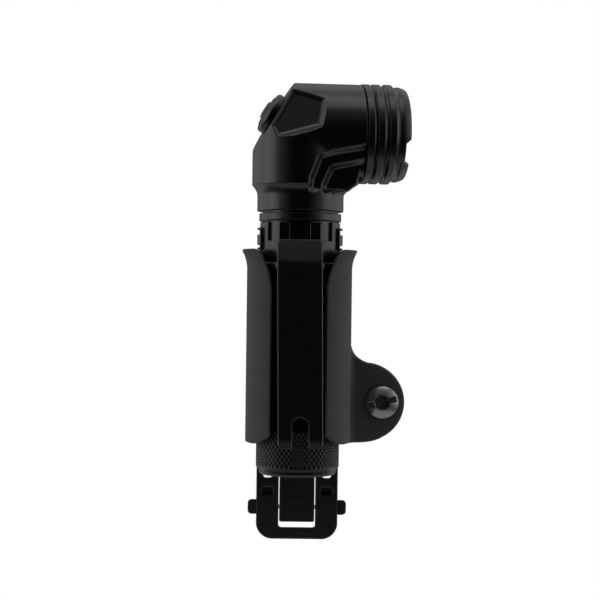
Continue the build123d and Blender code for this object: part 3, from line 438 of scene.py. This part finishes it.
# CAD pieces inside the light and the clip keep their CAD shape
KEPT = {
    "mount_screws": GUNMETAL, "hinge_pin": SPRING, "tab_springs": SPRING, "clip_rivets": CLIP_STEEL,
    "tail_o_ring": RUBBER, "battery_cell": CELL_STEEL, "cell_wrap": CELL_WRAP, "head_contact_spring": BRASS,
    "driver_board": BOARD, "driver_parts": COMPONENTS, "driver_retaining_ring": BRASS, "led_wires": WIRE,
    "lens_gasket": RUBBER, "led_emitter": EMITTER, "led_board": ALUMINIUM, "led_pill": ALUMINIUM,
    "switch_board": BOARD, "tact_switch": COMPONENTS, "tail_magnet": CELL_STEEL,
    "tail_contact_board": BOARD, "tail_spring": BRASS, "belt_spacer_bar": CLIP_PLASTIC,
    "retention_post": GUNMETAL, "retention_spacer": RUBBER,
}
for node, kept_finish in KEPT.items():
    frame["nodes"][node].data.materials.clear()
    frame["nodes"][node].data.materials.append(kept_finish)


# ---- flashlight head -----------------------------------------------------------------------------
SEAM = HOUSING_FRONT - 1.1                                 # the housing's front face
CROTCH_FILLET, CROTCH_HALF, ELBOW_ROUND = 6.0, 17.0, 2.5
CHEEK_OUTER = [(60, 71.0), (22.5, 68.1), (7.2, 64.9), (4.2, 57.5), (2.6, 40.0), (60, 40.0)]
CHEEK_INNER = [(60, 64.6), (23.2, 62.9), (12.0, 60.6), (9.6, 55.0), (8.8, 44.0), (60, 44.0)]
CHEEKS = [(CHEEK_OUTER, 15.6), (CHEEK_INNER, 12.8)]        # each flat cheek, its distance from the middle
CHEEK_BEVEL, CHEEK_ROUND = 2.9, 2.4                        # both lines lie CHEEK_ROUND outside their points
SUNK_FLAT = [(-5.0, 92.9), (6.9, 89.2), (4.9, 78.6), (-11.4, 74.2), (-13.4, 78.6)]
SUNK_AT, SUNK_NORMAL, SUNK_BEVEL = (-5.0, 10.35, 92.9), (-0.234, 0.919, 0.317), 0.6
CAVITY_R, CAVITY_BACK = 16.4, 15                           # room for the lens and reflector
NECK_BORE_TOP, SWITCH_POCKET = 48.4, 3.6


def head_mass(x, y, z):
    """Upright and barrel, mitred at the elbow, with a fillet where they meet in front."""
    flare = np.clip((SHOULDER_HIGH - z) / (SHOULDER_HIGH - SHOULDER_LOW), 0, 1)
    radius = NECK_R + (UPRIGHT_R - NECK_R) * (1 - flare) ** 2
    upright = np.hypot(x, y) - radius
    barrel = np.hypot(y, z - BARREL_Z) - BARREL_R
    crotch = CROTCH_FILLET * np.sqrt(np.clip(1 - (y / CROTCH_HALF) ** 2, 0.01, 1))
    legs = either(np.maximum(upright, z - BARREL_Z), np.maximum(barrel, -x), crotch)
    return np.minimum(legs, both(upright, barrel, ELBOW_ROUND))


def cheeked(body, x, y, z):
    """The head with its two flat cheeks on each side under the elbow, one set into the other."""
    profile = head_mass(x, 0 * y, z)
    ring = np.hypot(y, z - BARREL_Z) - BARREL_R - 0.8
    within = ring - 3 * np.maximum(22 - x, 0) - 2 * np.maximum(10 - np.abs(y), 0)
    fade = ease((z - SHOULDER_LOW - 0.3) / 2.6)
    for region, half in CHEEKS:
        share = fade * ease(0.5 + (CHEEK_ROUND - outline(region, x, z)) / CHEEK_BEVEL)
        cheek = both(both(profile, np.abs(y) - half, 2.0), within, 1.5)
        body = body + (cheek - body) * share
    return body


def head_field(x, y, z):
    body = cheeked(head_mass(x, y, z), x, y, z)
    side = outline(SUNK_FLAT, x, z)
    plane = sum(n * (v - at) for n, v, at in zip(SUNK_NORMAL, (x, np.abs(y), z), SUNK_AT))
    body = np.maximum(body, -both((side - plane + SUNK_BEVEL) * 0.7071, -plane, 0.5))
    facet = -x * sin(FACET_SLOPE) + (z - BARREL_Z) * cos(FACET_SLOPE) - FACET_DISTANCE
    body = both(body, facet, 0.35)
    body = both(body, x - SEAM, 0.3)
    body = both(body, HEAD_LOW - z, 0.3)
    cavity = np.maximum(np.hypot(y, z - BARREL_Z) - CAVITY_R, CAVITY_BACK - x)
    bore = np.maximum(np.hypot(x, y) - SEAT_R - 0.05, z - NECK_BORE_TOP)
    down = x * cos(FACET_SLOPE) + (z - BARREL_Z) * sin(FACET_SLOPE)
    pocket = np.maximum(np.hypot(down, y) - SWITCH_RING_R + 0.6, -SWITCH_POCKET - facet)
    for hollow in (cavity, bore, pocket):
        body = np.maximum(body, -hollow)
    return body


solid("head_shell", head_field, (-21, -20.6, 45), (25.6, 20.6, 98), 0.3, LIGHT, "light", ANODISED,
      ["head_housing"])


NOTCH_BELOW, NOTCH_HALF, NOTCH_SLOPE = 29.0, 13.6, 4.8      # degrees: below level, half width, each end
NOTCH_DEPTH = 2.1
INSIDE_RIM = 16.0                                          # points within this radius are not cut
RING_SHIFTS = (-1.2, -1.3, -0.8)
GROOVE_R, NOSE_R, NOSE_START = 18.9, 19.15, 38.0


def cut_rim(r, h, angle):
    """Two notches low on the sides of the rim. The angle about the beam is 0 where it points down."""
    depth = 0
    for centre in (90 - NOTCH_BELOW, NOTCH_BELOW - 90):
        off = np.abs((np.degrees(angle) - centre + 180) % 360 - 180)
        share = np.clip((NOTCH_HALF + NOTCH_SLOPE - off) / NOTCH_SLOPE, 0, 1)
        depth = np.maximum(depth, share * NOTCH_DEPTH)
    return r, np.minimum(h, BEZEL_FRONT - depth[None, :] + (r < INSIDE_RIM) * 5)


rim = [(16.3, SEAM + 0.1), (18.6, SEAM + 0.1)]
for n, shift in enumerate(RING_SHIFTS):
    start = RING_START + n * RING_PITCH + shift
    rim += [(GROOVE_R, start), (RING_R - 0.15, start), (RING_R, start + 0.15), (RING_R, start + 2.45),
            (RING_R - 0.1, start + 2.65), (GROOVE_R + 0.05, start + 3.6)]
rim += [(GROOVE_R, 37.6), (GROOVE_R + 0.05, 37.8), (NOSE_R, NOSE_START - 0.05)]
rim += [(NOSE_R - 0.95 * t**1.5, NOSE_START + 3.0 * t) for t in (0.15, 0.3, 0.45, 0.6, 0.75, 0.9, 1.0)]
rim += [(18.05, 41.2), (17.8, 41.4), (17.5, BEZEL_FRONT), (16.6, BEZEL_FRONT), (16.4, 41.3), (16.1, 37.4),
        (LENS_R + 0.1, 37.2), (LENS_R + 0.1, 33.6), (16.3, 33.4)]
lathe("bezel", rim, BEAM, "light", ANODISED, ["bezel_ring"], 720, cut_rim)

lens_front = LENS_BACK + LENS_THICK
disc = [(0.0, LENS_BACK), (LENS_R, LENS_BACK), (LENS_R, lens_front - 0.1), (0.0, lens_front)]
lathe("front_lens", rounded_profile(disc, 0.35), BEAM, "light", GLASS, ["lens"], 128)

CUP_R, CUP_OPEN, CUP_WALL = 15.5, 2.0, 1.1                 # the parabola is cut off CUP_OPEN above its tip
cup_depth = LENS_BACK - 1.0 - REFLECTOR_BACK
cup_focus = CUP_R**2 / (4 * (cup_depth + CUP_OPEN))
cup = [(2 * (cup_focus * (rise + CUP_OPEN)) ** 0.5 - 1.2, REFLECTOR_BACK + rise)
       for rise in np.linspace(1, 0, 25) * cup_depth]
cup_back = [(r + CUP_WALL, h) for r, h in reversed(cup)]
lathe("reflector_cup", cup_back + cup, BEAM, "light", MIRROR, ["reflector"], 160)

# ---- switch --------------------------------------------------------------------------------------
guard = [(SWITCH_RING_R, 0.0), (SWITCH_RING_R, 2.0), (8.3, 2.45), (7.9, 2.9), (7.2, 3.25), (6.75, 3.35),
         (6.7, 1.0), (6.7, -2.0), (7.8, -2.0), (7.8, 0.0)]
lathe("switch_bezel", guard, FACET, "light", ANODISED, ["switch_ring"], 160)
button = [(0.0, -1.6), (BUTTON_R, -1.6), (BUTTON_R, 3.0), (6.3, 3.4), (5.9, 3.7), (5.2, 3.85), (4.0, 3.9),
          (3.75, 3.95), (3.6, 4.4), (3.3, 4.65), (2.4, 4.77), (0.0, 4.8)]
lathe("switch_cap", button, FACET, "button", BUTTON, ["switch_button"], 160)

# ---- neck, collar and tube -----------------------------------------------------------------------
band = [(SEAT_R + 0.05, NECK_RING_LOW), (NECK_RING_R, NECK_RING_LOW),
        (NECK_RING_R, NECK_RING_HIGH), (SEAT_R + 0.05, NECK_RING_HIGH)]
lathe("neck_band", rounded_profile(band, 0.3), LIGHT, "light", ANODISED, ["neck_ring"], 200)
TUBE_BORE, THREAD_R, O_RING_SEAT_R, TUBE_TOP = 13.6, 15.0, 14.66, 48.0
thread_low = TAIL_TOP - 8.7
tube = [(TUBE_BORE, thread_low), (THREAD_R, thread_low), (THREAD_R, TAIL_TOP - 2.55),
        (O_RING_SEAT_R, TAIL_TOP - 2.6), (O_RING_SEAT_R, TAIL_TOP - 1.6), (THREAD_R, TAIL_TOP - 1.55),
        (THREAD_R, TAIL_TOP + 0.3), (TUBE_R, TAIL_TOP + 0.5), (TUBE_R, COLLAR_LOW - 0.5),
        (SEAT_R, COLLAR_LOW - 0.35), (SEAT_R, TUBE_TOP), (TUBE_BORE, TUBE_TOP)]
lathe("tube", rounded_profile(tube, 0.12), LIGHT, "light", ANODISED, ["body_tube"], 200)

FINGER_FROM, FINGER_TO, BLOCK_FROM = 14.3, 32.0, 52.0      # degrees from the front, on both sides
FINGER_ROOT = COLLAR_HIGH - 7.4
PAD_SPAN, PAD_FRONT, PAD_BACK = (3.9, 8.3), 15.75, 13.2    # a flat pad on each finger
LUG_R, LUG_FROM, LUG_LOW, LUG_HIGH = 17.1, 66.0, 30.4, 39.0  # a thin lug on each side
SEAT_HALF, SEAT_FRONT = 6.0, 17.3                          # a flat under the root of the pocket clip


def collar_field(x, y, z):
    around = np.degrees(np.arctan2(np.abs(x), -y))
    r = np.hypot(x, y)
    body = both(r - COLLAR_R, slab(z, COLLAR_LOW, COLLAR_HIGH), 0.35)
    body = np.minimum(body, both(r - COLLAR_FLANGE_R, slab(z, COLLAR_LOW, COLLAR_LOW + COLLAR_FLANGE), 0.5))
    per_degree = radians(1) * COLLAR_R                     # millimetres round the collar
    for low, high in ((-1.0, FINGER_FROM), (FINGER_TO, BLOCK_FROM)):
        gap = np.maximum(slab(around, low, high) * per_degree, FINGER_ROOT - z)
        body = both(body, -gap, 0.3)
    pad = flat_box(np.abs(x), z, PAD_SPAN, (FINGER_ROOT - 5, COLLAR_HIGH - 0.1), 0.9)
    body = np.minimum(body, both(pad, slab(y, -PAD_FRONT, -PAD_BACK), 0.45))
    sides = slab(around, LUG_FROM, 180 - LUG_FROM) * per_degree
    lug = np.maximum(slab(r, COLLAR_R - 0.5, LUG_R), sides)
    plate = np.maximum(slab(r, LUG_R - 0.45, LUG_R), sides)
    body = np.minimum(body, np.maximum(plate, slab(z, LUG_LOW, LUG_HIGH)))
    for low, high in ((LUG_HIGH - 3.4, LUG_HIGH), (LUG_LOW, LUG_LOW + 2.6)):
        body = np.minimum(body, np.maximum(lug, slab(z, low, high)))
        slit = np.maximum(slab(z, low + 0.7, high - 0.7), COLLAR_R - 0.7 - r)
        body = np.maximum(body, -np.maximum(slit, (LUG_FROM + 4 - around) * per_degree))
    seat = np.maximum(np.abs(x) - SEAT_HALF, slab(z, COLLAR_LOW + COLLAR_FLANGE, FINGER_ROOT))
    seat = np.maximum(seat, slab(y, -SEAT_FRONT, 0))
    body = np.minimum(body, seat)
    return both(body, COLLAR_BORE - r, 0.2)


solid("collar", collar_field, (-18.2, -18.2, 21.5), (18.2, 18.2, 41.8), 0.25, DOCK, "collar", ANODISED,
      ["clip_collar"])

# ---- pocket clip ---------------------------------------------------------------------------------
LEAF_LEAN = 0.014                                          # the lower end stands this share to the right
LEAF_SLOPE, LEAF_KNEE = 0.39, 25.2                         # it slopes above the knee
LEAF_DRAW, LEAF_DRAW_FROM, LEAF_KICK = 0.012, -10.0, 0.5   # it leans in below this height, then kicks out


def hinge(t, softness):
    """Nothing below zero and t above it, with a soft turn between."""
    return (np.sqrt(t * t + softness) + t) / 2


def leaf_front(z):
    """How far the leaf's front is from the tube's middle: sloping at its root, upright, then flared."""
    front = LEAF_FACE_Y - LEAF_SLOPE * hinge(z - LEAF_KNEE, 0.7)
    return front - LEAF_DRAW * hinge(LEAF_DRAW_FROM - z, 4.0) + LEAF_KICK * hinge(LEAF_FLARE - z, 0.5)


def leaf_field(x, y, z):
    x = x - LEAF_LEAN * (LEAF_TOP - z)
    plan = flat_box(x, z, (-LEAF_HALF, LEAF_HALF), (LEAF_END, LEAF_TOP), 2.0)
    prong = flat_box(x, z, (-FORK_WIDTH / 2, FORK_WIDTH / 2), (LEAF_END - 20, FORK_TOP), FORK_WIDTH / 2)
    plan = both(plan, -prong, 0.8)
    sheet = 0.92 * (np.abs(y + leaf_front(z) - LEAF_THICK / 2) - LEAF_THICK / 2)
    return bevelled(sheet, plan, 0.3)


solid("clip_leaf", leaf_field, (-9.3, -24.6, -47.8), (10.6, -16.8, 34.7), 0.2, DOCK, "clip", CLIP_STEEL,
      ["pocket_clip"])

# ---- tail cap ------------------------------------------------------------------------------------
DIAMONDS, DIAMOND_HEIGHT, KNURL_DEPTH = 52, 2.5, 0.45


def knurl(r, h, angle):
    """Crossed grooves: a grid of small pyramids between the two ends of the band."""
    around = angle[None, :] / (2 * pi) * DIAMONDS
    rise = h / DIAMOND_HEIGHT
    one, two = (np.abs(2 * ((around + way * rise) % 1) - 1) for way in (1, -1))
    height = np.minimum(1 - one, 1 - two) * 2.3 - 1
    band = ease((TAIL_TOP - 0.7 - h) / 0.5) * ease((h - TAIL_KNURL_END - 0.5) / 0.5) * (r > TAIL_R - 0.05)
    return r + np.minimum(height, 0) * KNURL_DEPTH * band, h


LIP_ROUND, CAP_BORE, CAP_FLOOR = 1.5, 15.2, 3.5
DISH_R, DISH_DEPTH = 6.2, 2.0                              # a shallow round dish in the end
KNURL_ROW = 0.2
rows = int((TAIL_TOP - TAIL_KNURL_END) / KNURL_ROW)
lip = [(TAIL_LIP_R - LIP_ROUND * (1 - sin(a)), TAIL_END + LIP_ROUND * (1 - cos(a)))
       for a in np.linspace(0, pi / 2, 7)]
cap = [(DISH_R, TAIL_END), *lip, (TAIL_LIP_R, TAIL_KNURL_END - 0.2), (TAIL_LIP_R + 0.3, TAIL_KNURL_END),
       (TAIL_R - 0.3, TAIL_KNURL_END)]
cap += [(TAIL_R, h) for h in np.linspace(TAIL_KNURL_END + 0.3, TAIL_TOP - 0.3, rows)]
cap += [(TAIL_R - 0.3, TAIL_TOP), (CAP_BORE, TAIL_TOP), (CAP_BORE, TAIL_END + CAP_FLOOR),
        (0.0, TAIL_END + CAP_FLOOR), (0.0, TAIL_END + DISH_DEPTH), (DISH_R, TAIL_END + DISH_DEPTH)]
lathe("knurled_cap", cap, LIGHT, "tail", KNURLED, ["tail_cap"], DIAMONDS * 10, knurl)


# ---- holster -------------------------------------------------------------------------------------
def sleeve(x, y, z):
    """Outside of the sleeve: round in front, square at the back, flared at the mouth except behind."""
    square = SHELL_R - BACK_CORNER
    across, behind = np.abs(x) - square, y - square
    back = np.hypot(np.maximum(across, 0), np.maximum(behind, 0))
    back = back + np.minimum(np.maximum(across, behind), 0) - BACK_CORNER
    body = np.where(y < 0, np.hypot(x, y) - SHELL_R, back)
    opening = np.clip((z - MOUTH) / (SHELL_TOP - MOUTH), 0, 1) ** 2
    return body - MOUTH_FLARE * opening * ease((14 - y) / 14)


EAR_BOTTOM = -47.4
SLOT_SPREAD, SLOT_FOOT, FOOT_CHAMFER = 5.0, 3.6, 4.5       # the slot widens to the mouth and at its foot
run_in = bezier((SHELL_R - 2, -6.0), (SHELL_R - 0.5, -9.2), (25.0, -15.2), (30.2, -15.15))
rim_arc = [(EAR_X + EAR_R * cos(a), EAR_Z + EAR_R * sin(a)) for a in np.radians(np.linspace(74, -62, 24))]
heel = bezier((34.9, -44.8), (32.6, -46.4), (29.0, EAR_BOTTOM), (24.0, EAR_BOTTOM), 5)
EAR = run_in + rim_arc + heel + [(14.0, EAR_BOTTOM), (14.0, -6.0)]


def holster_field(x, y, z):
    out = sleeve(x, y, z)
    wall = np.abs(out + SHELL_WALL / 2) - SHELL_WALL / 2
    widen = SLOT_SPREAD * np.clip((z - SLOT_WIDEN_FROM) / (SHELL_TOP - SLOT_WIDEN_FROM), 0, 1) ** 1.6
    chamfer = FOOT_CHAMFER * np.clip((SHELL_BOTTOM + SLOT_FOOT - z) / SLOT_FOOT, 0, 1)
    slot = np.where(y < 0, SLOT_HALF + widen + chamfer - np.abs(x), -30)
    ends = both(slab(z, SHELL_BOTTOM, SHELL_TOP), slot, 2.5)
    wall = both(wall, ends, 0.8)
    r = np.hypot(x, y)
    ledge = np.maximum(np.maximum(LEDGE_R - r, out + 1.4), slab(z, LEDGE_LOW, LEDGE_TOP))
    wall = either(wall, np.maximum(ledge, slot), 0.8)
    ear = outline(EAR, x, z)
    front = both(ear, slab(y, EAR_FRONT, EAR_FRONT + SHELL_WALL), 1.0)
    rear = both(ear, slab(y, EAR_BACK - SHELL_WALL, EAR_BACK), 1.0)
    body = either(wall, front, 2.6)
    body = np.minimum(body, rear)
    body = np.maximum(body, -out - SHELL_WALL)
    middle = EAR_FRONT + SHELL_WALL + EAR_GAP / 2
    gap = np.maximum(np.abs(y - middle) - EAR_GAP / 2, -x)
    body = both(body, -gap, 0.7)
    hole = np.hypot(x - SCREW_X, z - SCREW_Z) - SCREW_HOLE_R
    return np.maximum(body, -hole)


solid("holster", holster_field, (-24.0, -24.0, -48.5), (44.2, 21.6, 31.0), 0.34, DOCK, "holster", SHEET,
      ["holster_shell"])

SLOT_TILT, SLOT_CUT = radians(15), 1.3


def screw_field(x, y, z):
    r = np.hypot(x, y)
    head = both(np.maximum(r - SCREW_R, -z), np.hypot(r, z + DOME_DROP) - DOME_R, 0.5)
    socket = np.maximum(r - SOCKET_R, 0.7 - z)
    along = -x * sin(SLOT_TILT) + y * cos(SLOT_TILT)
    cut = np.maximum(np.abs(along) - SLOT_CUT, 1.5 - z)
    return both(head, -np.minimum(socket, cut), 0.2)


FRONT_FACE = DOCK @ Matrix.Translation((SCREW_X, EAR_FRONT, SCREW_Z)) @ Matrix.Rotation(pi / 2, 4, "X")
solid("ear_screw", screw_field, (-7.3, -7.3, -0.4), (7.3, 7.3, 3.6), 0.14, FRONT_FACE, "holster", GUNMETAL,
      ["retention_screw"])


# ---- belt clip -----------------------------------------------------------------------------------
BASE_BACK = BASE_FRONT + PLATE
RAIL_X = (WINDOW_HALF + BASE_HALF) / 2
TAB_Y = BASE_FRONT + PLATE / 2
NOSE_FRONT = TAB_Y + 0.2                                   # a tab's nose is the back part of its thickness
PIN_BORE_R = 1.3


def base_field(x, y, z):
    ax = np.abs(x)
    plan = flat_box(x, z, (-BASE_HALF, BASE_HALF), (BASE_BOTTOM, HINGE_Z + 20), CLIP_CORNER)
    plan = both(plan, -flat_box(x, z, (-WINDOW_HALF, WINDOW_HALF), (WINDOW_LOW, WINDOW_HIGH), 1.2), 0.5)
    beside = ax - RAIL_X
    slot = flat_box(beside, z, (-RAIL_SLOT / 2, RAIL_SLOT / 2), (SLOT_BOTTOM, WINDOW_HIGH - 3), 1.0)
    plan = np.maximum(plan, -slot)
    top = HINGE_Z + HINGE_R
    arm = flat_box(y, z, (BASE_FRONT, 8.0), (BELT_TOP, top), HINGE_R)
    arm = np.minimum(np.maximum(arm, y), np.hypot(y, z - HINGE_Z) - HINGE_R)
    middle = KNUCKLE_HALF + KNUCKLE_PLAY - ax
    arm = np.maximum(arm, np.minimum(middle, 1.0))
    plate_top = flat_box(y, z, (BASE_FRONT, 8.0), (BASE_BOTTOM - 20, top), HINGE_R)
    plate = both(both(slab(y, BASE_FRONT, BASE_BACK), plan, 0.7), plate_top, 0.3)
    body = either(plate, both(arm, ax - BASE_HALF, 0.5), 0.4)
    recess = flat_box(beside, z, (-2.4, 2.4), (SLOT_BOTTOM - 6.8, SLOT_BOTTOM - 3.6), 0.6)
    body = both(body, -np.maximum(recess, y - BASE_FRONT - 2.0), 0.25)
    off = np.abs(z - TAB_Z)
    depth = np.abs(y - TAB_Y) - 1.2
    for start, half, front in ((6.5, 1.0, NOSE_FRONT - 0.2), (9.15, 3.2, BASE_FRONT)):
        room = np.maximum(np.maximum(start - ax, off - half), np.maximum(depth, front - y))
        body = np.maximum(body, -room)
    return np.maximum(body, PIN_BORE_R - np.hypot(y, z - HINGE_Z))


solid("clip_base", base_field, (-17.4, -7.5, -88.8), (17.4, 3.2, 31.9), 0.28, HERE, "holster", CLIP_PLASTIC,
      ["belt_clip_base"])

JAW_FRONT, JAW_BACK = CHANNEL, CHANNEL + PLATE
JAW_END = -36.0
TONGUE_HALF, TONGUE_END = 7.25, jaw_box[0][2]
TONGUE = [
    (JAW_FRONT, JAW_END + 8), (JAW_BACK, JAW_END + 8), (JAW_BACK, JAW_END), (TAB_Y + 1.5, -52.0),
    (TAB_Y + 1.5, TONGUE_END), (TAB_Y - 1.5, TONGUE_END), (TAB_Y - 1.5, -50.0), (JAW_FRONT, JAW_END + 1),
]


def jaw_field(x, y, z):
    ax = np.abs(x)
    plan = flat_box(x, z, (-BASE_HALF, BASE_HALF), (JAW_END, BELT_TOP - 0.3), CLIP_CORNER)
    plan = np.maximum(plan, np.where(z > 0, ax - BASE_HALF, plan))
    body = both(np.where(z > 0, np.maximum(ax - BASE_HALF, z - BELT_TOP + 0.3), plan),
                slab(y, JAW_FRONT, JAW_BACK), 0.8)
    hook = np.maximum(flat_box(y, z, (0, JAW_BACK), (BELT_TOP - 0.4, HINGE_Z + HINGE_R), 0.8), -y)
    knuckle = np.hypot(y, z - HINGE_Z) - HINGE_R
    hook = np.minimum(hook, knuckle)
    hook = np.maximum(hook, np.where((z > HINGE_Z) & (y < 0), knuckle, -9))
    body = either(body, both(hook, ax - KNUCKLE_HALF, 0.5), 0.6)
    tongue = both(outline(TONGUE, y, z), ax - TONGUE_HALF, 0.7)
    body = either(body, tongue, 0.5)
    body = np.maximum(body, y - JAW_BACK)                  # the fillets stay within the plate's back
    pocket = np.maximum(np.maximum(np.abs(z - TAB_Z) - 1.2, TONGUE_HALF - 2.1 - ax), NOSE_FRONT - 0.2 - y)
    body = np.maximum(body, -pocket)
    return np.maximum(body, PIN_BORE_R - np.hypot(y, z - HINGE_Z))


solid("clip_jaw", jaw_field, (-17.4, -7.3, -81.7), (17.4, 7.6, 31.9), 0.3, HERE, "jaw", CLIP_PLASTIC,
      ["belt_clip_jaw"])


NOSE_TIP, NOSE_ROOT, TAB_IN = 7.3, 12, 11.15


def tab_field(x, y, z):
    """Right-hand release tab; the left one is its mirror image."""
    dy, dz = np.abs(y - TAB_Y) - 1.0, np.abs(z - TAB_Z)
    grip = both(flat_box(x, z, (TAB_IN, TAB_OUT), (TAB_Z - 3, TAB_Z + 3), 1.6), dy, 0.35)
    inside = np.maximum(np.maximum(slab(x, TAB_IN, 15.4), dz - 4), dy)
    nose = np.maximum(np.maximum(slab(x, NOSE_TIP, NOSE_ROOT), dz - 0.8), np.maximum(dy, NOSE_FRONT - y))
    return np.minimum(np.minimum(grip, inside), nose)


solid("tab_right", tab_field, (6.6, -6.6, -79.6), (20.5, -3.8, -70.6), 0.18, HERE, "right_tab", TAB_PLASTIC,
      ["release_tab_right"])
solid("tab_left", lambda x, y, z: tab_field(-x, y, z), (-20.5, -6.6, -79.6), (-6.6, -3.8, -70.6), 0.18,
      HERE, "left_tab", TAB_PLASTIC, ["release_tab_left"])

# ---- studio --------------------------------------------------------------------------------------
# Grey levels of the surroundings: by degrees from the front, by height from -1 to 1, and of the wall behind
STUDIO = [(0, 0.0), (26, 0.01), (37, 0.12), (47, 0.26), (57, 0.33), (70, 0.6), (90, 1.0), (118, 0.85),
          (140, 0.4), (160, 0.14), (180, 0.1)]
HEIGHTS = [(-1.0, 0.2), (-0.35, 0.2), (-0.05, 1.0), (0.3, 0.95), (0.6, 0.7), (1.0, 0.65)]
BEHIND = [(0, 0.0), (97, 0.0), (118, 0.75), (140, 0.4), (160, 0.12), (180, 0.1)]
STUDIO_STRENGTH = 1.2
FLOOR_R, FLOOR_THICK, FLOOR_Z = 0.22, 0.004, -0.168        # metres
CAMERA_AT, CAMERA_ROLL, LENS_MM, SENSOR_MM = (0.0003, -0.718, 0.0104), radians(0.7), 103.5, 36


def surroundings():
    """A world that the object reflects as a dark front between light sides, on white for the camera."""
    world = bpy.data.worlds.new("studio")
    bpy.context.scene.world = world
    world.use_nodes = True
    nodes, link = world.node_tree.nodes, world.node_tree.links.new
    nodes.clear()

    def grey(value, levels):
        """The grey level at a value from 0 to 1, read from a list of places and levels."""
        node = nodes.new("ShaderNodeValToRGB")
        stops = node.color_ramp.elements
        while len(stops) < len(levels):
            stops.new(0.5)
        for stop, (place, level) in zip(stops, levels):
            stop.position = place
            stop.color = (level, level, level, 1)
        link(value, node.inputs["Fac"])
        return node.outputs["Color"]

    def backdrop(colour, strength):
        node = nodes.new("ShaderNodeBackground")
        node.inputs["Strength"].default_value = strength
        if isinstance(colour, tuple):
            node.inputs["Color"].default_value = colour
        else:
            link(colour, node.inputs["Color"])
        return node.outputs["Background"]

    direction = nodes.new("ShaderNodeTexCoord").outputs["Generated"]
    facing = nodes.new("ShaderNodeVectorMath")
    facing.operation = "DOT_PRODUCT"
    facing.inputs[1].default_value = (0, -1, 0)
    link(direction, facing.inputs[0])
    bend = nodes.new("ShaderNodeMath")
    bend.operation = "ARCCOSINE"
    link(facing.outputs["Value"], bend.inputs[0])
    turn = nodes.new("ShaderNodeMath")
    turn.operation = "DIVIDE"
    turn.inputs[1].default_value = pi
    link(bend.outputs["Value"], turn.inputs[0])
    apart = nodes.new("ShaderNodeSeparateXYZ")
    link(direction, apart.inputs["Vector"])
    height = nodes.new("ShaderNodeMapRange")
    height.inputs["From Min"].default_value = -1
    link(apart.outputs["Z"], height.inputs["Value"])

    around = grey(turn.outputs["Value"], [(angle / 180, level) for angle, level in STUDIO])
    upward = grey(height.outputs["Result"], [((rise + 1) / 2, level) for rise, level in HEIGHTS])
    behind = grey(turn.outputs["Value"], [(angle / 180, level) for angle, level in BEHIND])
    level = colour_mix(nodes, link, around, upward, way="MULTIPLY")
    level = colour_mix(nodes, link, level, behind, way="LIGHTEN")
    choose = nodes.new("ShaderNodeMixShader")
    link(nodes.new("ShaderNodeLightPath").outputs["Is Camera Ray"], choose.inputs["Fac"])
    link(backdrop(level, STUDIO_STRENGTH), choose.inputs[1])
    link(backdrop((1, 1, 1, 1), 1.0), choose.inputs[2])
    output = nodes.new("ShaderNodeOutputWorld")
    link(choose.outputs["Shader"], output.inputs["Surface"])


def pale_floor():
    """A plain round floor under the object."""
    place = (0, 0, FLOOR_Z)
    bpy.ops.mesh.primitive_cylinder_add(vertices=96, radius=FLOOR_R, depth=FLOOR_THICK, location=place)
    floor = bpy.context.object
    floor.name = "floor"
    pale = bpy.data.materials.new("pale_floor")
    pale.use_nodes = True
    shader = pale.node_tree.nodes["Principled BSDF"]
    shader.inputs["Base Color"].default_value = (0.8, 0.8, 0.79, 1)
    shader.inputs["Roughness"].default_value = 0.6
    floor.data.materials.append(pale)


def softbox(name, place, size, power):
    """A rectangular light that faces the object's middle."""
    data = bpy.data.lights.new(name, "AREA")
    data.shape, data.size, data.size_y, data.energy = "RECTANGLE", *size, power
    light = bpy.data.objects.new(name, data)
    bpy.context.scene.collection.objects.link(light)
    light.location = place
    light.rotation_euler = (-Vector(place)).to_track_quat("-Z", "Y").to_euler()


def camera_in_front():
    """A long lens in front of the object, rolled very slightly."""
    camera = bpy.data.objects.new("camera", bpy.data.cameras.new("camera"))
    bpy.context.scene.collection.objects.link(camera)
    camera.data.sensor_width = SENSOR_MM
    camera.data.lens = LENS_MM
    camera.location = CAMERA_AT
    level = Matrix.Rotation(pi / 2, 3, "X")
    camera.rotation_euler = (level @ Matrix.Rotation(CAMERA_ROLL, 3, "Z")).to_euler()
    bpy.context.scene.camera = camera


surroundings()
pale_floor()
softbox("left_soft", (-0.9, -0.25, 0.25), (0.5, 0.9), 1.2)
softbox("right_soft", (0.9, -0.25, 0.25), (0.5, 0.9), 0.8)
softbox("top_soft", (0.0, -0.25, 0.9), (0.9, 0.5), 1.5)
camera_in_front()
bpy.context.scene.view_settings.view_transform = "Standard"
